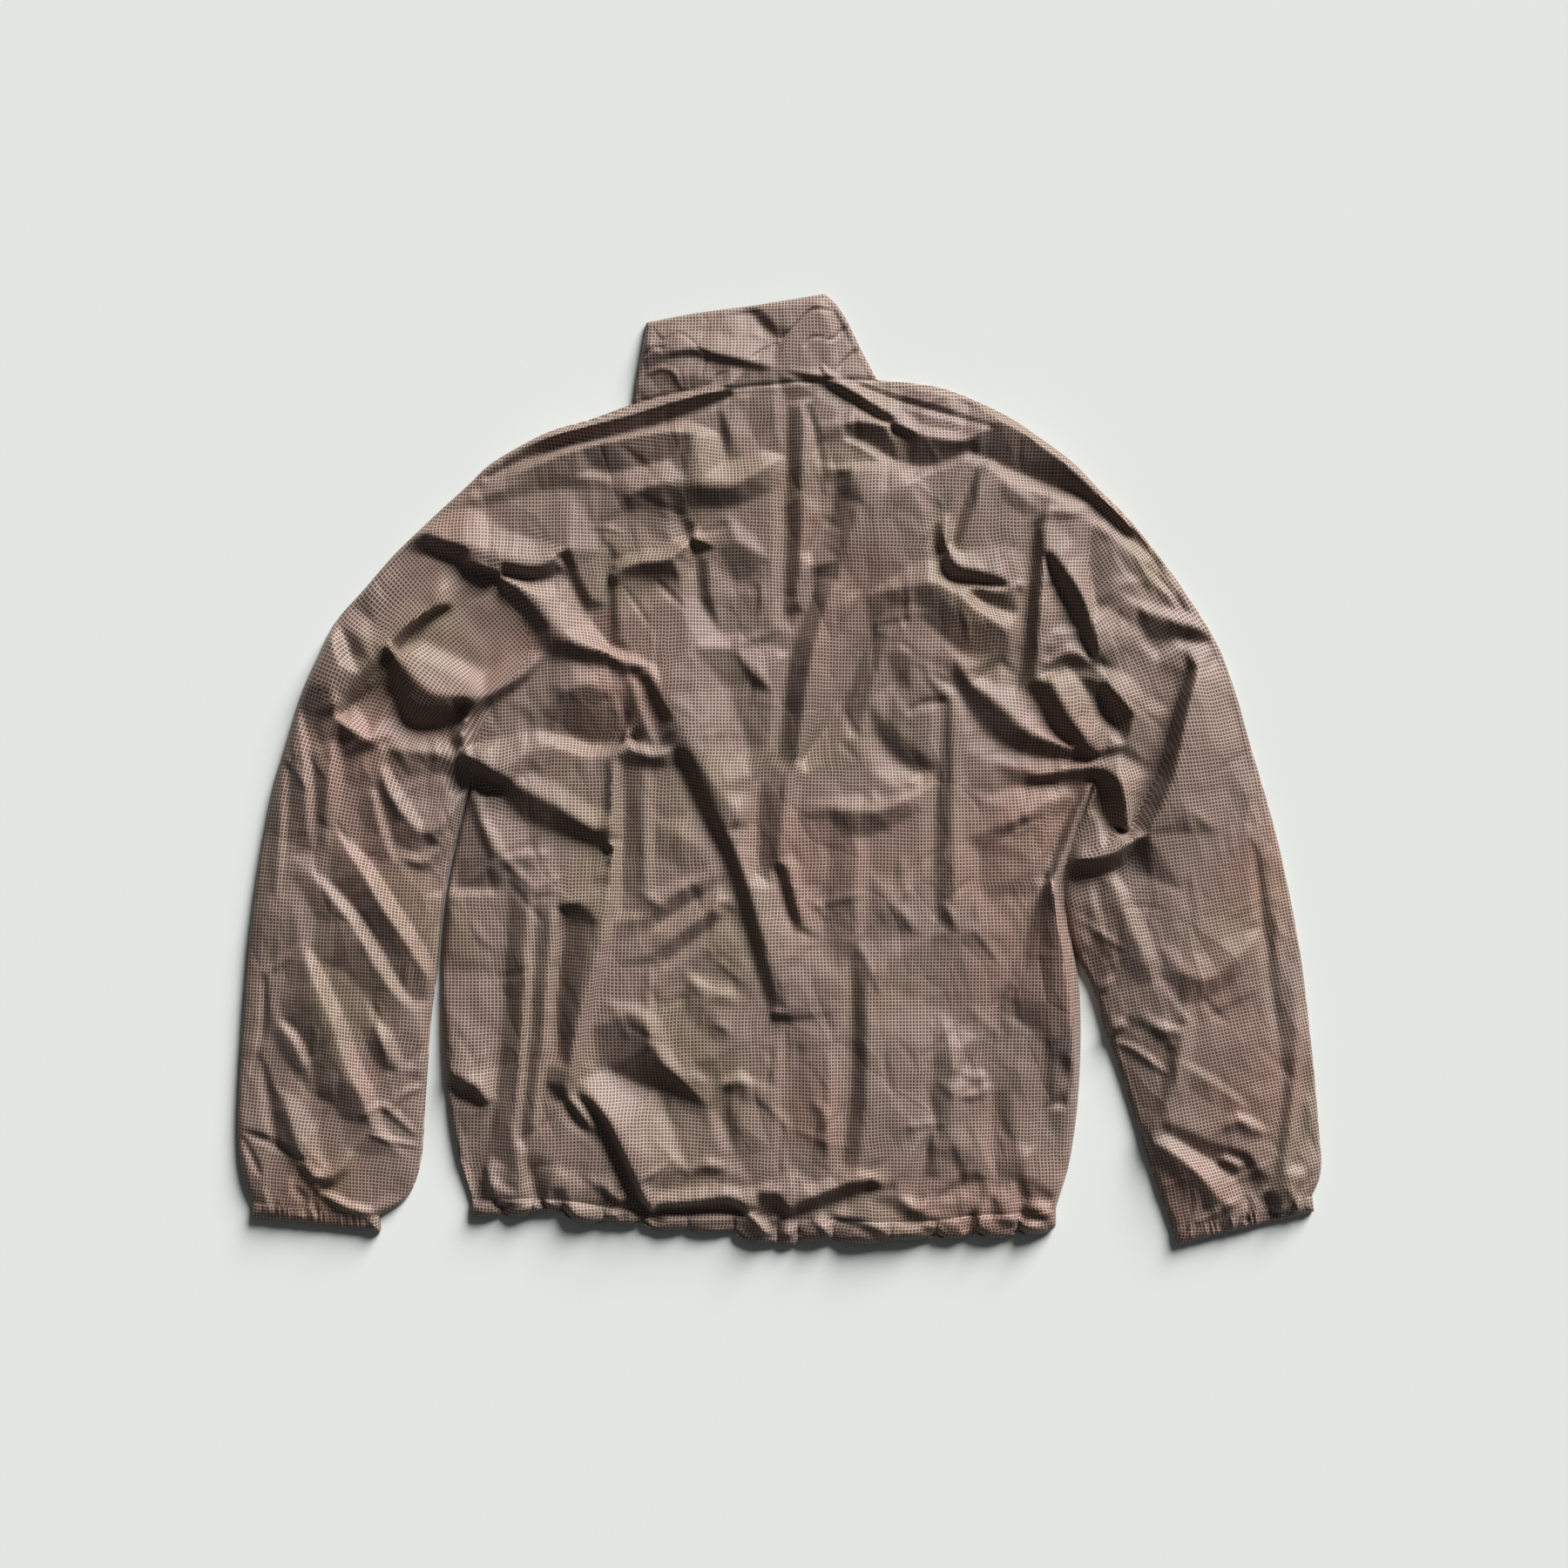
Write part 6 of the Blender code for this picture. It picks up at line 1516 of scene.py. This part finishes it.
tape_weave = woven_tape()
for name, node, sign in (("left_zip_tape", "zip_tape_left", -1), ("right_zip_tape", "zip_tape_right", 1)):
    tape = build_tape(name, sign, tape_weave)
    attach(tape, "jacket")
    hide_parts(node)
    print(name, round((TAPE_END - TAPE_TOP) * SQUARE, 3), "m long")

# %% [markdown]
# ## A row of small shapes along a line
#
# Stitches and zip teeth are the same idea: one small rounded shape, again and again at an
# even spacing along a line. Geometry Nodes do that well. The tree takes a curve, sets
# points on it at a spacing, puts a stretched ball on each, turned along the line, and
# makes the copies real. Its inputs are the sizes, so one tree serves both.

# %% Node tree for rows of shapes
ROW_INPUTS = ("Spacing", "Along", "Across", "Up")


def row_tree(name, material):
    """Geometry Nodes that set a stretched ball at even steps along a curve."""
    tree = bpy.data.node_groups.new(name, "GeometryNodeTree")
    tree.interface.new_socket("Geometry", in_out="INPUT", socket_type="NodeSocketGeometry")
    for item in ROW_INPUTS:
        tree.interface.new_socket(item, in_out="INPUT", socket_type="NodeSocketFloat")
    tree.interface.new_socket("Geometry", in_out="OUTPUT", socket_type="NodeSocketGeometry")
    group_in, group_out = (tree.nodes.new(f"NodeGroup{end}") for end in ("Input", "Output"))

    def add(kind, links, **settings):
        node = tree.nodes.new(kind)
        for setting, value in settings.items():
            setattr(node, setting, value)
        for socket, source in links.items():
            tree.links.new(source, node.inputs[socket])
        return node

    line, spacing, along, across, up = (group_in.outputs[item] for item in ("Geometry", *ROW_INPUTS))
    spots = add("GeometryNodeCurveToPoints", {"Curve": line, "Length": spacing}, mode="LENGTH")
    turn = add("FunctionNodeAlignRotationToVector", {"Vector": spots.outputs["Tangent"]}, axis="X")
    size = add("ShaderNodeCombineXYZ", {"X": along, "Y": across, "Z": up})
    ball = add("GeometryNodeMeshUVSphere", {})
    ball.inputs["Segments"].default_value, ball.inputs["Rings"].default_value = 8, 4
    ball.inputs["Radius"].default_value = 0.5
    links = {"Points": spots.outputs["Points"], "Instance": ball.outputs["Mesh"]}
    links |= {"Rotation": turn.outputs["Rotation"], "Scale": size.outputs["Vector"]}
    copies = add("GeometryNodeInstanceOnPoints", links)
    smooth = add("GeometryNodeSetShadeSmooth", {"Geometry": copies.outputs["Instances"]})
    real = add("GeometryNodeRealizeInstances", {"Geometry": smooth.outputs["Geometry"]})
    painted = add("GeometryNodeSetMaterial", {"Geometry": real.outputs["Geometry"]})
    painted.inputs["Material"].default_value = material
    tree.links.new(painted.outputs["Geometry"], group_out.inputs["Geometry"])
    return tree


def row_of_shapes(name, tree, lines, sizes):
    """A mesh of small shapes along one or more lines of points, in metres."""
    curve = bpy.data.curves.new(name + "_line", "CURVE")
    curve.dimensions = "3D"
    for line in lines:
        part = curve.splines.new("POLY")
        part.points.add(len(line) - 1)
        part.points.foreach_set("co", np.c_[line, np.ones(len(line))].astype(np.float32).ravel())
    holder = bpy.data.objects.new(name + "_line", curve)
    bpy.context.scene.collection.objects.link(holder)
    maker = holder.modifiers.new("row", "NODES")
    maker.node_group = tree
    for item in tree.interface.items_tree:
        if item.in_out == "INPUT" and item.name in sizes:
            maker[item.identifier] = sizes[item.name] * MM
    bpy.context.view_layer.update()
    mesh = bpy.data.meshes.new_from_object(holder.evaluated_get(bpy.context.evaluated_depsgraph_get()))
    holder.modifiers.remove(maker)
    bpy.data.objects.remove(holder)
    mesh.name = name
    piece = bpy.data.objects.new(name, mesh)
    bpy.context.scene.collection.objects.link(piece)
    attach(piece, "jacket")
    print(name, len(mesh.polygons), "faces")
    return piece


# %% [markdown]
# ## Stitches
#
# A row of machine stitches holds each casing and the collar, and one runs down each front
# beside the zip. A stitch is 2 to 3 mm of thread that sinks into the cloth at both ends.
# A flat ball half sunk in the surface looks just so, and it catches the light as thread does.

# %% Stitches
STITCH = {"Spacing": 2.8, "Along": 2.2, "Across": 0.4, "Up": 0.36}  # mm
ZIP_STITCH_AWAY = 7.5  # mm from the zip's middle
THREAD_SINK = 0.05 * MM


def sewing_thread():
    finish = Finish("sewing_thread", Roughness=0.55, Sheen_Weight=0.2)
    here = finish.value("TexCoord", {}, {}, 3)
    twist = finish.noise(here, 2600.0, 1.0)
    finish.set("Base Color", finish.blend(twist, (0.110, 0.075, 0.062, 1), (0.235, 0.175, 0.150, 1)))
    finish.bump(twist * 0.00004)
    return finish.material


thread_rows = row_tree("row_of_stitches", sewing_thread())
rows_sewn = dict(seam_lines)
for name, sign in (("left_front", -1), ("right_front", 1)):
    edge = zip_side(sign * ZIP_STITCH_AWAY, FRONT_NECK, FRONT_HEM_SEAM, TAPE_ROWS)
    rows_sewn[name] = np.c_[edge, zip_lift(edge)]
for name, line in rows_sewn.items():
    sign = -1 if name.endswith("front") else 1
    sewn = row_of_shapes(name + "_stitches", thread_rows, [line - (0, 0, sign * THREAD_SINK)], STITCH)

# %% [markdown]
# ## Zip coil
#
# The chain of this zip is a nylon coil: two rows of close loops that lock into each other
# over a woven core. Two rows of teeth, half a step apart, look the same as the real thing
# and stay light. The core fills the gaps, so no light comes through between the teeth.

# %% Zip coil
CHAIN_LOW, CHAIN_HIGH = 1.0, 3.0  # mm above the fronts' face
TOOTH = {"Spacing": 1.5, "Along": 1.1, "Across": 2.9, "Up": 1.9}  # mm
ROW_APART = 1.4  # mm between the two rows' middles
CORE_HALF, CORE_THICK = 1.5, 0.9  # mm
CORE_COLUMNS, CORE_ROW, CORE_ROUND = 5, 2, 0.8  # columns, mm a row on the map, share that is round
CHAIN_OVERLAP = 1.5  # mm that the chain reaches into the slider
CHAIN_TOP = SLIDER_AT - CHAIN_OVERLAP / (SQUARE / MM)


def nylon_coil():
    finish = Finish("zip_coil_nylon", Roughness=0.38, Specular_IOR_Level=0.5)
    here = finish.value("TexCoord", {}, {}, 3)
    wear = finish.noise(here, 340.0, 2.0)
    finish.set("Base Color", finish.blend(wear, (0.050, 0.036, 0.030, 1), (0.105, 0.076, 0.064, 1)))
    finish.set("Roughness", wear * 0.2 + 0.28)
    return finish.material


def build_core(finish):
    """The woven cord in the middle of the chain."""
    offsets = np.linspace(-CORE_HALF, CORE_HALF, CORE_COLUMNS)
    plan = np.stack([zip_side(offset, CHAIN_TOP, TAPE_END, TAPE_ROWS) for offset in offsets], 1)
    middle = (CHAIN_LOW + CHAIN_HIGH) / 2 * MM
    height = np.repeat(zip_lift(plan[:, CORE_COLUMNS // 2])[:, None] + middle, CORE_COLUMNS, 1)
    round_edge = np.sqrt(1 - (offsets / CORE_HALF * CORE_ROUND) ** 2) * CORE_THICK / 2 * MM
    down = np.arange(TAPE_ROWS + 1)[:, None] * CORE_ROW * MM
    flat = np.stack(np.broadcast_arrays(offsets[None] * MM, down), 2)
    outer, inner = np.dstack([plan, height - round_edge]), np.dstack([plan, height + round_edge])
    return shell("zip_core", outer, inner, list(range(CORE_COLUMNS)), flat, finish)


coil_rows = row_tree("row_of_teeth", nylon_coil())
teeth = []
for sign in (-1, 1):
    start = CHAIN_TOP + (0 if sign < 0 else TOOTH["Spacing"] / 2 * MM / SQUARE)
    line = zip_side(sign * ROW_APART / 2, start, TAPE_END, TAPE_ROWS)
    teeth.append(np.c_[line, zip_lift(line) + (CHAIN_LOW + CHAIN_HIGH) / 2 * MM])
coil = row_of_shapes("zip_coil_teeth", coil_rows, teeth, TOOTH)
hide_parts("zip_chain")
core = build_core(tape_weave)
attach(core, "jacket")

# %% [markdown]
# ## Zip metal
#
# The slider, its pull tab, the stops and the box keep the shape of their solids, which is
# right already. They get a satin bronze finish: a metal whose roughness wanders a little,
# with fine marks from the tumbling drum and a darker tone where the plating is thick.

# %% Zip metal
METAL_NODES = ("zip_slider", "zip_pull_tab", "zip_top_stop_left", "zip_top_stop_right", "zip_bottom_box")


def satin_bronze():
    finish = Finish("zip_satin_bronze", Metallic=1.0, Roughness=0.35)
    here = finish.value("TexCoord", {}, {}, 3)
    cloudy = finish.noise(here, 260.0, 3.0)
    marks = finish.noise(here.math3("MULTIPLY", (1.0, 0.15, 1.0)), 4200.0, 2.0)
    finish.set("Base Color", finish.blend(cloudy, (0.190, 0.150, 0.120, 1), (0.335, 0.280, 0.235, 1)))
    finish.set("Roughness", cloudy * 0.18 + marks * 0.12 + 0.2)
    finish.bump(marks * 0.00002)
    return finish.material


bronze = satin_bronze()
for name in METAL_NODES:
    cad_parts[name].material_slots[0].material = bronze
print("bronze on", len(METAL_NODES), "pieces")

# %% [markdown]
# ## What each piece was cut to
#
# Cloth hardly stretches, so the flat cut must have the area of the cloth as it lies, folds
# and gathers included. The table gives each cut as a maker would draw it: its width and
# length, and its area where it isn't a rectangle. A tube is cut all round.

# %% Cuts
Cut = namedtuple("Cut", "piece width length area rests_on sewn_on")
TABLE, FRONTS = ("table_top",), ("left_front_panel", "right_front_panel")
CUTS = (
    Cut("back_panel", 0.60, 0.70, 0.370, FRONTS, ()),
    Cut("left_front_panel", 0.30, 0.66, 0.165, TABLE, ("left_front_stitches",)),
    Cut("right_front_panel", 0.30, 0.66, 0.165, TABLE, ("right_front_stitches",)),
    Cut("left_sleeve_tube", 0.42, 0.60, 0.171, TABLE, ()),
    Cut("right_sleeve_tube", 0.42, 0.60, 0.171, TABLE, ()),
    Cut("left_cuff_casing", 0.24, 0.016, None, TABLE, ("left_cuff_casing_stitches",)),
    Cut("right_cuff_casing", 0.24, 0.016, None, TABLE, ("right_cuff_casing_stitches",)),
    Cut("stand_collar", 0.42, 0.070, 0.027, TABLE, ("stand_collar_stitches",)),
    Cut("hem_casing", 1.02, 0.018, 0.016, TABLE, ("hem_casing_stitches",)),
    Cut("left_zip_tape", 0.0114, 0.707, None, FRONTS[:1], ()),
    Cut("right_zip_tape", 0.0114, 0.707, None, FRONTS[1:], ()),
)
for cut in CUTS:
    sewn = list(cut.sewn_on)

# %% [markdown]
# ## Table, light and camera
#
# A plain pale table and one large soft lamp, low behind the collar and to its right, so
# that each crease has a lit side and a shaded side. A weak sky fills the shade. The camera
# looks straight down from the plan's middle, with a long lens, so the lay isn't distorted.

# %% Table, light and camera
TABLE_HALF, TABLE_DROP = 4.0, 0.0005  # m: half its side, and its gap under the cloth
SKY, SKY_STRENGTH = (0.96, 0.98, 1.0, 1), 0.075


def build_floor():
    mesh = bpy.data.meshes.new("table_top")
    half = TABLE_HALF
    corners = [(-half, -half, 0), (half, -half, 0), (half, half, 0), (-half, half, 0)]
    mesh.from_pydata(corners, [], [(0, 1, 2, 3)])
    floor = bpy.data.objects.new("table_top", mesh)
    mesh.materials.append(Finish("pale_table", Roughness=0.95, Base_Color=(0.66, 0.69, 0.675, 1)).material)
    bpy.context.scene.collection.objects.link(floor)
    floor.location.z = -TABLE_DROP


build_floor()


def add_sun(name, azimuth, elevation, strength, softness, colour):
    """A distant lamp: azimuth counted from +X towards +Y, in degrees."""
    lamp = bpy.data.lights.new(name, "SUN")
    lamp.energy, lamp.angle, lamp.color = strength, radians(softness), colour
    holder = bpy.data.objects.new(name, lamp)
    towards = Vector((
        cos(radians(azimuth)) * cos(radians(elevation)),
        sin(radians(azimuth)) * cos(radians(elevation)),
        sin(radians(elevation)),
    ))
    holder.rotation_euler = towards.to_track_quat("Z", "Y").to_euler()
    bpy.context.scene.collection.objects.link(holder)


add_sun("key_light", azimuth=58, elevation=24.5, strength=8.15, softness=30, colour=(1.0, 0.985, 0.965))
world = bpy.data.worlds.new("studio")
world.use_nodes = True
world.node_tree.nodes["Background"].inputs["Color"].default_value = SKY
world.node_tree.nodes["Background"].inputs["Strength"].default_value = SKY_STRENGTH
bpy.context.scene.world = world
bpy.context.scene.view_settings.view_transform = "Standard"

VIEW_SQUARES = 1800
IMAGE_CENTRE = ((900, 900),)
LENS, SENSOR = 70.0, 36.0
away = VIEW_SQUARES * SQUARE * LENS / SENSOR
eye = bpy.data.cameras.new("camera")
eye.lens, eye.sensor_width = LENS, SENSOR
holder = bpy.data.objects.new("camera", eye)
centre = to_frame(IMAGE_CENTRE)[0]
holder.location = (centre[0], centre[1], away)
bpy.context.scene.collection.objects.link(holder)
bpy.context.scene.camera = holder
print("camera at", [round(value, 3) for value in holder.location])
